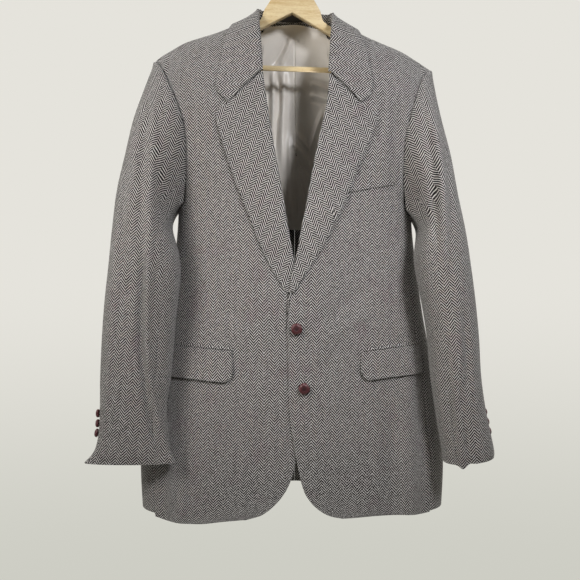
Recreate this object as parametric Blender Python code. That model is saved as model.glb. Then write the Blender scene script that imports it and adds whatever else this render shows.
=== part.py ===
"""Tweed hacking jacket hanging on a wooden hanger.

Metres, +Z up, the jacket faces -Y and its wearer's left is at +X.
The origin is the inside top of the hanger's hook.
"""
import math

import bpy
from mathutils import Vector

# ---------------------------------------------------------------- driving sizes
CLOTH = 0.0018            # thickness of the tweed
SATIN = 0.0010            # thickness of the lining and the label
SEAM = 0.00022            # each edge stands this far back from its seam
ARMHOLE_SEAM = 0.0017     # the sleeve stands this far off the armhole
CLEAR = 0.0005            # air under cloth that lies on cloth
FRONT_ROLL = 0.130        # height over which the shoulder turns into the chest
BACK_ROLL = 0.110         # height over which the shoulder turns into the back
FOLD_RADIUS = 0.0026      # lapels and collar turn this far inside their roll lines

LEFT = 1                  # wearer's left, +X
RIGHT = -1                # wearer's right, -X
SIDES = ((LEFT, "left"), (RIGHT, "right"))

# ---------------------------------------------------------------- body tables
# Plan sections of the body. half_width is at the side, whose depth is side_y.
BODY_COLUMNS = ("z", "half_width", "side_y", "front_y", "back_y", "square")
BODY = (
    (-0.110, 0.290, 0.000, -0.054, 0.046, 2.6),
    (-0.220, 0.275, 0.002, -0.060, 0.052, 2.6),
    (-0.340, 0.236, 0.006, -0.063, 0.055, 2.5),
    (-0.440, 0.196, 0.010, -0.064, 0.056, 2.3),
    (-0.580, 0.210, 0.012, -0.062, 0.055, 2.2),
    (-0.700, 0.230, 0.014, -0.060, 0.054, 2.2),
    (-0.800, 0.244, 0.014, -0.058, 0.054, 2.3),
    (-0.870, 0.253, 0.012, -0.056, 0.055, 2.4),
    (-0.960, 0.249, 0.012, -0.054, 0.056, 2.4),
)
HEM_FLARE = {LEFT: 0.990, RIGHT: 1.028}    # width of the skirt against the table
HEM_FLARE_Z = (-0.70, -0.86)

# Shoulder line of each side, from the neck to the shoulder point.
SHOULDER_COLUMNS = ("x", "z")
SHOULDER = {
    LEFT: ((0.062, -0.1290), (0.088, -0.1392), (0.1163, -0.1545), (0.1466, -0.1678),
           (0.1778, -0.1812), (0.2037, -0.1970), (0.2267, -0.2121)),
    RIGHT: ((0.060, -0.1225), (0.092, -0.1340), (0.130, -0.1492), (0.1827, -0.1660),
            (0.2051, -0.1783), (0.2281, -0.1925), (0.2341, -0.1986)),
}
NECK_HALF_WIDTH = {LEFT: 0.062, RIGHT: 0.060}
BACK_NECK_Z = -0.1180
BACK_NECK_Y = 0.044

# Front and back edges of the armhole, by the drop below the shoulder point.
ARMHOLE_COLUMNS = ("drop", "front_x", "back_x")
ARMHOLE = (
    (0.000, 0.2300, 0.2300),
    (0.018, 0.2140, 0.2170),
    (0.045, 0.2020, 0.2070),
    (0.085, 0.1880, 0.1960),
    (0.115, 0.1800, 0.1900),
    (0.145, 0.1770, 0.1870),
    (0.185, 0.1775, 0.1870),
    (0.235, 0.1815, 0.1850),
)
ARMHOLE_SIDE_DROP = 0.235     # the side panel starts here
ARMHOLE_DEPTH = 0.252         # lowest point of the armhole

# Hem heights by x, for the back, and for each front.
HEM_COLUMNS = ("x", "z")
BACK_HEM = ((0.000, -0.914), (0.120, -0.920), (0.200, -0.930), (0.260, -0.938))
FRONT_HEM = {
    LEFT: ((0.000, -0.9484), (0.074, -0.9484), (0.139, -0.9455), (0.200, -0.9465),
           (0.260, -0.943)),
    RIGHT: ((0.000, -0.9508), (0.077, -0.9508), (0.110, -0.9538), (0.172, -0.9610),
            (0.220, -0.955), (0.270, -0.945)),
}

# Inner edge of each front: roll line, front edge and rounded cut-away.
EDGE_COLUMNS = ("z", "x")
FRONT_EDGE = {
    LEFT: ((-0.110, 0.0640), (-0.1640, 0.0612), (-0.2187, 0.0565), (-0.2752, 0.0512),
           (-0.3315, 0.0392), (-0.3902, 0.0269), (-0.4466, 0.0171), (-0.4834, 0.0096),
           (-0.5240, 0.0022), (-0.5720, -0.0080), (-0.6280, -0.0126), (-0.6888, -0.0115),
           (-0.7504, -0.0106), (-0.7912, -0.0075), (-0.8322, -0.0016), (-0.8620, 0.0040),
           (-0.8856, 0.0090), (-0.9050, 0.0150), (-0.9212, 0.0253), (-0.9367, 0.0420),
           (-0.9449, 0.0590), (-0.9484, 0.0760)),
    RIGHT: ((-0.105, 0.0600), (-0.1600, 0.0576), (-0.2177, 0.0528), (-0.2808, 0.0442),
            (-0.3496, 0.0331), (-0.4080, 0.0224), (-0.4744, 0.0112), (-0.5376, 0.0000),
            (-0.5800, -0.0096), (-0.6280, -0.0170), (-0.6888, -0.0184), (-0.7500, -0.0176),
            (-0.7912, -0.0128), (-0.8300, -0.0048), (-0.8648, 0.0000), (-0.8872, 0.0068),
            (-0.9070, 0.0165), (-0.9265, 0.0325), (-0.9427, 0.0535), (-0.9508, 0.0790)),
}

# The left front lies over the right one: how far it is lifted, by height.
LAP_COLUMNS = ("z", "lift")
LAP = ((-0.430, 0.0), (-0.500, 0.0050), (-0.620, 0.0050), (-0.680, 0.0028),
       (-0.870, 0.0028), (-0.960, 0.0010))
LAP_FULL_X = 0.024            # full lift up to here
LAP_FADE_X = 0.085            # none from here

# Large soft folds of the fronts and the back: ridge (+) or trough (-).
FOLD_COLUMNS = ("face", "side", "x", "slope", "z", "width", "length", "depth")
FOLDS = (
    ("front", RIGHT, 0.205, 0.10, -0.900, 0.016, 0.080, 0.0060),
    ("front", RIGHT, 0.172, 0.05, -0.905, 0.014, 0.090, -0.0040),
    ("front", LEFT, 0.190, -0.08, -0.900, 0.016, 0.090, 0.0050),
    ("front", LEFT, 0.155, 0.00, -0.820, 0.018, 0.150, -0.0030),
    ("front", RIGHT, 0.120, 0.12, -0.560, 0.030, 0.120, -0.0030),
    ("front", LEFT, 0.110, 0.00, -0.560, 0.028, 0.120, -0.0030),
    ("back", RIGHT, 0.130, 0.00, -0.780, 0.026, 0.180, -0.0040),
    ("back", LEFT, 0.115, 0.04, -0.760, 0.024, 0.200, -0.0045),
    ("back", LEFT, 0.170, -0.06, -0.420, 0.022, 0.110, 0.0035),
    ("back", RIGHT, 0.165, -0.05, -0.430, 0.022, 0.120, 0.0035),
)

# ---------------------------------------------------------------- sleeve tables
# Each row is a ring of the sleeve, between its outer and its inner edge.
SLEEVE_COLUMNS = ("outer_x", "outer_z", "inner_x", "inner_z", "front_y", "back_y")
SLEEVE = {
    RIGHT: (
        (0.2341, -0.1986, 0.1970, -0.4500, -0.040, 0.046),
        (0.2378, -0.2100, 0.2025, -0.4590, -0.056, 0.054),
        (0.2495, -0.2480, 0.2050, -0.4680, -0.072, 0.052),
        (0.2635, -0.2980, 0.2040, -0.4780, -0.086, 0.042),
        (0.2741, -0.3560, 0.2000, -0.4890, -0.096, 0.028),
        (0.2859, -0.4180, 0.1935, -0.5030, -0.102, 0.010),
        (0.2924, -0.4800, 0.1865, -0.5240, -0.104, -0.003),
        (0.2976, -0.5400, 0.1835, -0.5580, -0.104, -0.012),
        (0.3042, -0.6000, 0.1885, -0.6060, -0.102, -0.014),
        (0.3090, -0.6600, 0.1940, -0.6620, -0.098, -0.014),
        (0.3117, -0.7180, 0.1990, -0.7180, -0.094, -0.018),
        (0.3121, -0.7640, 0.2052, -0.7640, -0.090, -0.024),
        (0.3136, -0.8050, 0.2030, -0.8070, -0.087, -0.030),
        (0.3205, -0.8360, 0.1990, -0.8350, -0.084, -0.036),
        (0.3370, -0.8560, 0.1910, -0.8560, -0.080, -0.040),
    ),
    LEFT: (
        (0.2267, -0.2121, 0.1970, -0.4635, -0.040, 0.046),
        (0.2300, -0.2260, 0.2025, -0.4720, -0.058, 0.054),
        (0.2344, -0.2640, 0.2045, -0.4800, -0.076, 0.052),
        (0.2414, -0.3120, 0.2030, -0.4890, -0.092, 0.042),
        (0.2508, -0.3640, 0.1990, -0.5000, -0.103, 0.026),
        (0.2598, -0.4240, 0.1945, -0.5140, -0.108, 0.009),
        (0.2713, -0.4850, 0.1915, -0.5330, -0.110, -0.005),
        (0.2799, -0.5430, 0.1955, -0.5620, -0.109, -0.011),
        (0.2874, -0.6000, 0.2040, -0.6040, -0.108, -0.009),
        (0.2928, -0.6560, 0.2125, -0.6580, -0.106, -0.010),
        (0.2966, -0.7160, 0.2178, -0.7160, -0.103, -0.010),
        (0.3038, -0.7660, 0.2248, -0.7660, -0.100, -0.010),
        (0.3123, -0.8060, 0.2315, -0.8060, -0.098, -0.010),
        (0.3185, -0.8350, 0.2370, -0.8350, -0.096, -0.010),
        (0.3185, -0.8460, 0.2392, -0.8560, -0.094, -0.010),
    ),
}
ARMHOLE_FADE_RINGS = 4.0      # the armhole's shape dies out over this many rings
UNDERARM_AIR = 0.0040         # the sleeve stands off the side panel under the arm
FRONT_SEAM_TURN = 128.0       # degrees from the outer edge, by way of the front
BACK_SEAM_TURN = (-66.0, -14.0)   # same, at the armhole and at the cuff

# ---------------------------------------------------------------- collar and lapels
# Stations of the collar from the notch (0) to the centre back. Angles turn over
# the shoulder: -90 on the chest, 0 on the shoulder line, +90 on the back.
COLLAR_COLUMNS = ("neck_x", "neck_angle", "edge_x", "edge_angle", "lift_y", "lift_z",
                  "stand")
COLLAR = {
    LEFT: (
        (0.0560, -77.4, 0.1060, -90.4, -0.0030, 0.0000, 0.10),
        (0.0572, -68.0, 0.1240, -76.0, -0.0034, 0.0010, 0.25),
        (0.0592, -54.0, 0.1180, -56.0, -0.0034, 0.0034, 0.60),
        (0.0618, -33.0, 0.1110, -32.0, -0.0022, 0.0062, 0.90),
        (0.0628, -8.0, 0.1020, -4.0, 0.0000, 0.0088, 1.00),
        (0.0610, 0.0, 0.0980, 16.0, 0.0014, 0.0130, 1.00),
        (0.0500, 0.0, 0.0880, 32.0, 0.0022, 0.0190, 1.00),
        (0.0280, 0.0, 0.0500, 42.0, 0.0030, 0.0240, 1.00),
        (0.0003, 0.0, 0.0003, 44.0, 0.0030, 0.0250, 1.00),
    ),
    RIGHT: (
        (0.0540, -79.3, 0.1070, -94.0, -0.0030, 0.0000, 0.10),
        (0.0550, -70.0, 0.1262, -79.0, -0.0034, 0.0010, 0.25),
        (0.0568, -56.0, 0.1195, -58.0, -0.0034, 0.0034, 0.60),
        (0.0600, -34.0, 0.1115, -32.0, -0.0022, 0.0062, 0.90),
        (0.0612, -8.0, 0.1010, -4.0, 0.0000, 0.0088, 1.00),
        (0.0592, 0.0, 0.0980, 18.0, 0.0014, 0.0130, 1.00),
        (0.0490, 0.0, 0.0880, 34.0, 0.0022, 0.0190, 1.00),
        (0.0280, 0.0, 0.0510, 43.0, 0.0030, 0.0240, 1.00),
        (0.0003, 0.0, 0.0003, 44.0, 0.0030, 0.0250, 1.00),
    ),
}
COLLAR_STEPS = 16             # columns of each half of the collar
STAND_INSIDE = 0.0026         # the stand's face is this far inside the neck seam

# Outer edge of each lapel, from the point of the lapel to the lowest end.
LAPEL_COLUMNS = ("x", "z")
LAPEL_EDGE = {
    LEFT: ((0.1347, -0.3040), (0.1248, -0.3266), (0.1078, -0.3656), (0.0928, -0.4050),
           (0.0760, -0.4466), (0.0600, -0.4790), (0.0400, -0.5180), (0.0170, -0.5540),
           (-0.0040, -0.5880)),
    RIGHT: ((0.1262, -0.2925), (0.1250, -0.3088), (0.1131, -0.3528), (0.0938, -0.4080),
            (0.0720, -0.4632), (0.0528, -0.5128), (0.0360, -0.5480), (0.0190, -0.5760),
            (0.0060, -0.5930)),
}
LAPEL_TOP = {LEFT: -0.2322, RIGHT: -0.2298}      # gorge, at the roll line
LAPEL_BOTTOM = {LEFT: -0.5850, RIGHT: -0.5900}   # the roll ends here
NOTCH = {LEFT: (0.1062, -0.2822), RIGHT: (0.1074, -0.2806)}
LAPEL_SPRING = 0.0030         # air under the lapel's free edge
LAPEL_ROWS = 12

# ---------------------------------------------------------------- pockets and buttons
FLAP_SKIN = 0.0020            # a flap's thickness
FLAP = {                      # top line from the front end to the outer end
    LEFT: {"front": (0.1069, -0.6802), "outer": (0.2080, -0.6690), "height": 0.0470},
    RIGHT: {"front": (0.1008, -0.6780), "outer": (0.2040, -0.6700), "height": 0.0520},
}
FLAP_CORNER = 0.016           # radius of the flap's front corner
JET_HEIGHT = 0.0042
WELT_CORNERS = ((0.0850, -0.4005), (0.1496, -0.3880), (0.1616, -0.4088), (0.0880, -0.4235))

FRONT_BUTTONS = ((0.0024, -0.6416), (0.0146, -0.7374))
FRONT_BUTTON_RADIUS = 0.0098
CUFF_BUTTON_Z = (-0.7780, -0.7940, -0.8096)
CUFF_BUTTON_RADIUS = 0.0074
CUFF_BUTTON_TURN = {LEFT: -16.0, RIGHT: -2.0}

LINING_END = -0.475           # hem of the half lining
LINING_HALF_WIDTH = 0.172
LINING_AIR = 0.0034           # air between the lining and the cloth behind it
LABEL_AIR = 0.0027            # depth of the label's face inside the neck seam, less its own
LABEL = {"width": 0.052, "top": -0.0985, "bottom": -0.1160}

# ---------------------------------------------------------------- hanger tables
HANGER_TILT = math.radians(2.0)
HANGER_THICKNESS = 0.012
HANGER_CHAMFER = 0.0015
HANGER_COLUMNS = ("x", "top", "bottom")
HANGER = (
    (0.000, -0.0700, -0.1163),
    (0.013, -0.0715, -0.1234),
    (0.025, -0.0795, -0.1300),
    (0.036, -0.0940, -0.1361),
    (0.0465, -0.1110, -0.1420),
    (0.0500, -0.1230, -0.1438),
    (0.0530, -0.1290, -0.1454),
    (0.0620, -0.1352, -0.1503),
    (0.0800, -0.1437, -0.1603),
    (0.105, -0.1545, -0.1741),
    (0.135, -0.1700, -0.1906),
    (0.165, -0.1860, -0.2071),
    (0.190, -0.2000, -0.2208),
    (0.203, -0.2085, -0.2255),
    (0.210, -0.2160, -0.2235),
)
BAR_RADIUS = 0.0045
BAR_Z = -0.2089
BAR_SIDES = 14
BAR_GAP = 0.0005              # air between the bar's cut ends and the arms
HOOK_WIRE = 0.0016            # radius of the hook's wire
HOOK_RADIUS = 0.0180          # inner radius of the hook
HOOK_SIDES = 10
HOOK_STEM = ((0.0, -0.0694), (0.0, -0.0560), (0.0, -0.0480), (0.0022, -0.0420))
HOOK_TURN = (-64, 206, 10)    # first, last and step of the round part, in degrees

# Plain materials: colour in linear light, roughness, metallic
COLOURS = {
    "tweed": ((0.198, 0.182, 0.170), 0.92, 0.0),
    "satin": ((0.262, 0.235, 0.205), 0.45, 0.0),
    "label": ((0.012, 0.012, 0.013), 0.70, 0.0),
    "leather": ((0.042, 0.006, 0.008), 0.38, 0.0),
    "wood": ((0.800, 0.624, 0.350), 0.50, 0.0),
    "steel": ((0.620, 0.620, 0.630), 0.28, 1.0),
}


# ---------------------------------------------------------------- small mathematics
def smooth(t):
    """0 to 1 with level ends."""
    t = min(max(t, 0.0), 1.0)
    return t * t * (3.0 - 2.0 * t)


def read(table, names, key, wanted, at):
    """Column `wanted` of a table, read smoothly where column `key` is `at`."""
    k = names.index(key)
    w = names.index(wanted)
    rows = sorted(table, key=lambda row: row[k])
    xs = [row[k] for row in rows]
    ys = [row[w] for row in rows]
    if at <= xs[0]:
        return ys[0]
    if at >= xs[-1]:
        return ys[-1]
    i = max(j for j in range(len(xs) - 1) if xs[j] <= at)
    slopes = [(ys[j + 1] - ys[j]) / (xs[j + 1] - xs[j]) for j in range(len(xs) - 1)]

    def tangent(j):
        if j == 0:
            return slopes[0]
        if j == len(xs) - 1:
            return slopes[-1]
        a, b = slopes[j - 1], slopes[j]
        return 0.0 if a * b <= 0.0 else 2.0 * a * b / (a + b)

    h = xs[i + 1] - xs[i]
    t = (at - xs[i]) / h
    return (ys[i] * (1 + 2 * t) * (1 - t) ** 2 + tangent(i) * h * t * (1 - t) ** 2
            + ys[i + 1] * t * t * (3 - 2 * t) + tangent(i + 1) * h * t * t * (t - 1))


def along(table, column, place):
    """Column of a table at a place between its rows, through a smooth curve."""
    place = min(max(place, 0.0), len(table) - 1.0)
    i = min(int(place), len(table) - 2)
    t = place - i
    p = [table[min(max(j, 0), len(table) - 1)][column] for j in (i - 1, i, i + 1, i + 2)]
    return 0.5 * (2 * p[1] + (p[2] - p[0]) * t + (2 * p[0] - 5 * p[1] + 4 * p[2] - p[3]) * t * t
                  + (3 * p[1] - p[0] - 3 * p[2] + p[3]) * t ** 3)


# ---------------------------------------------------------------- body surface
def body(name, z):
    return read(BODY, BODY_COLUMNS, "z", name, z)


def half_width(side, z):
    start, end = HEM_FLARE_Z
    flare = 1.0 + (HEM_FLARE[side] - 1.0) * smooth((start - z) / (start - end))
    return body("half_width", z) * flare


def shoulder_z(side, x):
    """Height of the shoulder line; inside the neck, of the back neck seam."""
    neck = NECK_HALF_WIDTH[side]
    if x >= neck:
        return read(SHOULDER[side], SHOULDER_COLUMNS, "x", "z", x)
    start = SHOULDER[side][0][1]
    return BACK_NECK_Z + (start - BACK_NECK_Z) * smooth(x / neck)


def neck_y(side, x):
    """Depth of the top edge: 0 along the shoulder, round the back of the neck."""
    inside = max(1.0 - (x / NECK_HALF_WIDTH[side]) ** 2, 0.0)
    return BACK_NECK_Y * math.sqrt(inside)


def fold_depth(face, side, x, z):
    """Sum of the soft folds at a place on one face."""
    total = 0.0
    for where, fold_side, x0, slope, z0, width, length, depth in FOLDS:
        if where == face and fold_side == side:
            across = (x - x0 - slope * (z - z0)) / width
            down = (z - z0) / length
            total += depth * math.exp(-across * across - down * down)
    return total


def plan_depth(side, x, z):
    """0 at the side of the body's plan section, 1 at its middle."""
    share = min(abs(x) / half_width(side, z), 1.0)
    square = body("square", z)
    return max(1.0 - share ** square, 0.0) ** (1.0 / square)


def front_y(side, x, z):
    """Outer face of a front. x is measured outwards from the centre line."""
    side_y = body("side_y", z)
    full = side_y + (body("front_y", z) - side_y) * plan_depth(side, x, z)
    drop = max(shoulder_z(side, max(x, NECK_HALF_WIDTH[side])) - z, 0.0)
    t = min(drop / FRONT_ROLL, 1.0)
    y = full * math.sqrt(t * (2.0 - t)) - fold_depth("front", side, x, z)
    if side == LEFT:
        near = 1.0 - smooth((x - LAP_FULL_X) / (LAP_FADE_X - LAP_FULL_X))
        y -= read(LAP, LAP_COLUMNS, "z", "lift", z) * near
    return y


def back_y(side, x, z):
    """Outer face of a back."""
    side_y = body("side_y", z)
    full = side_y + (body("back_y", z) - side_y) * plan_depth(side, x, z)
    drop = max(shoulder_z(side, x) - z, 0.0)
    t = min(drop / BACK_ROLL, 1.0)
    top = neck_y(side, x)
    return top + (full - top) * math.sqrt(t * (2.0 - t)) + fold_depth("back", side, x, z)


def ring_point(side, angle, z):
    """Side of the body: angle 0 at the side, 90 at the centre front, -90 at the back."""
    square = body("square", z)
    c = max(math.cos(math.radians(angle)), 0.0) ** (2.0 / square)
    x = half_width(side, z) * c
    if angle >= 0.0:
        return Vector((side * x, front_y(side, x, z), z))
    return Vector((side * x, back_y(side, x, z), z))


def ring_angle(side, x, z):
    """Angle at which the plan section reaches x."""
    share = min(x / half_width(side, z), 1.0)
    return math.degrees(math.acos(share ** (body("square", z) / 2.0)))


def shoulder_point(side, x, angle):
    """Point of the body found by turning over the shoulder line."""
    roll = BACK_ROLL if angle > 0.0 else FRONT_ROLL
    turn = math.radians(min(abs(angle), 90.0))
    beyond = math.radians(max(abs(angle) - 90.0, 0.0))
    z = shoulder_z(side, x if angle > 0.0 else max(x, NECK_HALF_WIDTH[side]))
    z -= roll * (1.0 - math.cos(turn) + beyond)
    y = back_y(side, x, z) if angle > 0.0 else front_y(side, x, z)
    return Vector((side * x, y, z))


def surface_normal(place, a, b, step=0.0008):
    """Outward normal of a surface given as a function of two numbers."""
    du = place(a + step, b) - place(a - step, b)
    dv = place(a, b + step) - place(a, b - step)
    n = du.cross(dv).normalized()
    return n


def front_place(side, x, z, out=0.0):
    """Point on a front, moved out from it by a distance."""
    point = Vector((side * x, front_y(side, x, z), z))
    n = surface_normal(lambda a, b: Vector((side * a, front_y(side, a, b), b)), x, z)
    if n.y > 0.0:
        n.negate()
    return point + n * out


# ---------------------------------------------------------------- armhole
def armhole_drop(side, z):
    return SHOULDER[side][-1][1] - z


def armhole_x(side, z, face):
    """Edge of the armhole on the front or the back, at a height."""
    point_x = SHOULDER[side][-1][0]
    drop = armhole_drop(side, z)
    x = read(ARMHOLE, ARMHOLE_COLUMNS, "drop", face, drop)
    return x + (point_x - ARMHOLE[0][1]) * (1.0 - smooth(drop / 0.10))


def seam_turn():
    """Turn round the armhole at which the side panel starts."""
    return math.degrees(math.acos(1.0 - 2.0 * ARMHOLE_SIDE_DROP / ARMHOLE_DEPTH))


def armhole_point(side, turn):
    """Point of the armhole: turn 0 at the shoulder, 90 in front, 180 at the bottom."""
    turn = (turn + 180.0) % 360.0 - 180.0
    drop = ARMHOLE_DEPTH * 0.5 * (1.0 - math.cos(math.radians(turn)))
    z = SHOULDER[side][-1][1] - drop
    face = "front_x" if turn >= 0.0 else "back_x"
    start = seam_turn()
    if abs(turn) <= start:
        x = armhole_x(side, z, face)
        y = front_y(side, x, z) if turn >= 0.0 else back_y(side, x, z)
        return Vector((side * x, y, z))
    level = SHOULDER[side][-1][1] - ARMHOLE_SIDE_DROP
    first = ring_angle(side, armhole_x(side, level, face), level)
    share = (180.0 - abs(turn)) / (180.0 - start)
    return ring_point(side, math.copysign(first * share, turn), z)


# ---------------------------------------------------------------- mesh making
def material(name):
    mat = bpy.data.materials.get(name)
    if mat is None:
        colour, roughness, metallic = COLOURS[name]
        mat = bpy.data.materials.new(name)
        mat.use_nodes = True
        shader = mat.node_tree.nodes["Principled BSDF"]
        shader.inputs["Base Color"].default_value = (*colour, 1.0)
        shader.inputs["Roughness"].default_value = roughness
        shader.inputs["Metallic"].default_value = metallic
    return mat


def add_object(name, vertices, faces, finish, smooth_angle=40.0):
    mesh = bpy.data.meshes.new(name)
    mesh.from_pydata([tuple(v) for v in vertices], [], faces)
    mesh.validate()
    mesh.materials.append(material(finish))
    obj = bpy.data.objects.new(name, mesh)
    bpy.context.scene.collection.objects.link(obj)
    mesh.shade_smooth()
    mesh.set_sharp_from_angle(angle=math.radians(smooth_angle))
    return obj


def grid_normals(grid):
    """Normals of a grid of points, by the differences of its neighbours."""
    rows, cols = len(grid), len(grid[0])
    normals = []
    for i in range(rows):
        line = []
        for j in range(cols):
            across = grid[i][min(j + 1, cols - 1)] - grid[i][max(j - 1, 0)]
            down = grid[min(i + 1, rows - 1)][j] - grid[max(i - 1, 0)][j]
            line.append(across.cross(down).normalized())
        normals.append(line)
    return normals


def place_normals(place, us, vs):
    """Normals of place(u, v), from small steps that may pass its side edges."""
    step = 0.004
    normals = []
    for v in vs:
        above, below = max(v - step, vs[0]), min(v + step, vs[-1])
        normals.append([(place(u + step, v) - place(u - step, v)).cross(
            place(u, below) - place(u, above)).normalized() for u in us])
    return normals


def shell(name, grid, thickness, finish, outside, normals=None):
    """Cloth wall whose outer face is a grid of points, seen from `outside`. The
    inner face is moved in along the normals, and four strips close the edges."""
    rows, cols = len(grid), len(grid[0])
    normals = normals or grid_normals(grid)
    if normals[rows // 2][cols // 2].dot(outside) > 0.0:
        grid = [list(reversed(line)) for line in grid]
        normals = [[-n for n in reversed(line)] for line in normals]
    outer = [p for line in grid for p in line]
    inner = [grid[i][j] + normals[i][j] * thickness for i in range(rows) for j in range(cols)]
    count = rows * cols
    faces = []
    for i in range(rows - 1):
        for j in range(cols - 1):
            a = i * cols + j
            b, c, d = a + 1, a + cols + 1, a + cols
            faces.append((a, d, c, b))
            faces.append((a + count, b + count, c + count, d + count))
    loop = list(range(cols))
    loop += [i * cols + cols - 1 for i in range(1, rows)]
    loop += [(rows - 1) * cols + j for j in range(cols - 2, -1, -1)]
    loop += [i * cols for i in range(rows - 2, 0, -1)]
    for i, a in enumerate(loop):
        b = loop[(i + 1) % len(loop)]
        faces.append((a, b, b + count, a + count))
    return add_object(name, outer + inner, faces, finish)


def panel(name, place, us, vs, thickness, finish, outside):
    """Cloth wall over a surface given as a function of two shares."""
    grid = [[place(u, v) for u in us] for v in vs]
    return shell(name, grid, thickness, finish, outside, place_normals(place, us, vs))


def hem_height(table, x):
    return read(table, HEM_COLUMNS, "x", "z", x)


def shares(count):
    return [i / (count - 1.0) for i in range(count)]


# ---------------------------------------------------------------- body panels
def body_rows(roll, length, lower):
    """Fractions of the length at which rows are made: close over the shoulder."""
    top = [roll * (1.0 - math.cos(math.radians(a))) / length for a in (2, 16, 32, 48, 66, 84)]
    return top + lower


def front_seam_x(side, z):
    """The seam between the front and the side panel."""
    level = SHOULDER[side][-1][1] - ARMHOLE_SIDE_DROP
    if z >= level:
        return armhole_x(side, z, "front_x")
    share = armhole_x(side, level, "front_x") / half_width(side, level)
    return half_width(side, z) * (share + (0.90 - share) * smooth((level - z) / 0.20))


def back_seam_x(side, z):
    """The seam between the back and the side panel."""
    level = SHOULDER[side][-1][1] - ARMHOLE_SIDE_DROP
    if z >= level:
        return armhole_x(side, z, "back_x")
    share = armhole_x(side, level, "back_x") / half_width(side, level)
    return half_width(side, z) * (share + (0.84 - share) * smooth((level - z) / 0.20))


def front_edge_x(side, z):
    return read(FRONT_EDGE[side], EDGE_COLUMNS, "z", "x", z)


def seam_crossing(seam_x, row_z):
    """The x at which a row meets its outer seam, by halving."""
    low, high = 0.10, 0.28
    for _ in range(30):
        middle = 0.5 * (low + high)
        if seam_x(row_z(middle)) > middle:
            low = middle
        else:
            high = middle
    return low


def front_span(side, share):
    """Inner and outer x of a row of the front."""
    inner = 0.05
    for _ in range(12):
        inner = front_edge_x(side, front_row_z(side, inner, share))
    outer = seam_crossing(lambda z: front_seam_x(side, z),
                          lambda x: front_row_z(side, x, share))
    past_roll = (front_row_z(side, inner, share) - LAPEL_BOTTOM[side] + 0.05) / 0.03
    return inner + SEAM + FOLD_RADIUS * smooth(past_roll), outer - SEAM


def make_front(side, label):
    lower = [0.205, 0.26, 0.32, 0.38, 0.44, 0.50, 0.56, 0.64, 0.72, 0.80,
             0.88, 0.925, 0.950, 0.970, 0.985, 0.994, 1.0]

    def place(u, v):
        inner, outer = front_span(side, v)
        x = inner + (outer - inner) * u
        z = front_row_z(side, x, v)
        return Vector((side * x, front_y(side, x, z), z))

    panel("front_" + label, place, shares(9), body_rows(FRONT_ROLL, 0.80, lower),
          CLOTH, "tweed", Vector((0, -1, 0)))


def front_row_z(side, x, share):
    """Height of a row of the front: along the shoulder at 0, along the hem at 1."""
    top = shoulder_z(side, max(x, NECK_HALF_WIDTH[side]))
    hem = hem_height(FRONT_HEM[side], max(x, 0.0))
    return top + (hem - top) * share


def back_row_z(side, x, share):
    top = shoulder_z(side, x)
    hem = hem_height(BACK_HEM, x)
    return top + (hem - top) * share


def make_back(side, label):
    lower = [0.20, 0.27, 0.34, 0.42, 0.50, 0.58, 0.66, 0.74, 0.82, 0.90, 1.0]

    def place(u, v):
        outer = seam_crossing(lambda z: back_seam_x(side, z),
                              lambda x: back_row_z(side, x, v))
        x = SEAM + (outer - 2.0 * SEAM) * u
        z = back_row_z(side, x, v)
        return Vector((side * x, back_y(side, x, z), z))

    neck = NECK_HALF_WIDTH[side] / SHOULDER[side][-1][0]
    us = [0.0, 0.35 * neck, 0.62 * neck, 0.82 * neck, 0.95 * neck, 1.02 * neck]
    us += [1.02 * neck + (1.0 - 1.02 * neck) * u for u in shares(6)[1:]]
    panel("back_" + label, place, us, body_rows(BACK_ROLL, 0.78, lower),
          CLOTH, "tweed", Vector((0, 1, 0)))


def make_side_panel(side, label):
    """Underarm panel, from the front seam round the side to the back seam."""
    start = seam_turn()
    hem_x = half_width(side, -0.93)
    front_hem, back_hem = hem_height(FRONT_HEM[side], hem_x), hem_height(BACK_HEM, hem_x)

    def place(u, v):
        top = armhole_point(side, start + (360.0 - 2.0 * start) * min(max(u, 0.0), 1.0)).z
        hem = front_hem + (back_hem - front_hem) * u
        z = top + (hem - top) * v
        seam_x = front_seam_x(side, z) if u < 0.5 else back_seam_x(side, z)
        return ring_point(side, ring_angle(side, seam_x, z) * (1.0 - 2.0 * u), z)

    vs = [0.0, 0.05, 0.12, 0.2, 0.3, 0.4, 0.5, 0.6, 0.7, 0.78, 0.86, 0.93, 1.0]
    us = [0.006] + shares(7)[1:-1] + [0.994]
    panel("side_panel_" + label, place, us, vs, CLOTH, "tweed", Vector((side, 0, 0)))


# ---------------------------------------------------------------- sleeves
def sleeve_ring(side, turn, ring):
    """Point of a sleeve: turn 0 at its outer edge, 90 in front, 180 at its inner edge."""
    value = {n: along(SLEEVE[side], i, ring) for i, n in enumerate(SLEEVE_COLUMNS)}
    c = math.cos(math.radians(turn))
    s = math.sin(math.radians(turn))
    c = math.copysign(abs(c) ** 0.92, c)
    s = math.copysign(abs(s) ** 0.92, s)
    x = 0.5 * (value["outer_x"] + value["inner_x"]) + 0.5 * (value["outer_x"] - value["inner_x"]) * c
    z = 0.5 * (value["outer_z"] + value["inner_z"]) + 0.5 * (value["outer_z"] - value["inner_z"]) * c
    y = 0.5 * (value["front_y"] + value["back_y"]) - 0.5 * (value["back_y"] - value["front_y"]) * s
    return Vector((side * x, y, z))


def sleeve_point(side, turn, ring):
    point = sleeve_ring(side, turn, ring)
    fade = 1.0 - smooth(ring / ARMHOLE_FADE_RINGS)
    if fade > 0.0:
        point += (armhole_point(side, turn) - sleeve_ring(side, turn, 0.0)) * fade
        bottom = (0.5 - 0.5 * math.cos(math.radians(turn))) ** 2
        off_body = UNDERARM_AIR * (0.35 + 0.65 * smooth(ring / 0.5))
        point.x += side * bottom * fade * off_body
    return point


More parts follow.
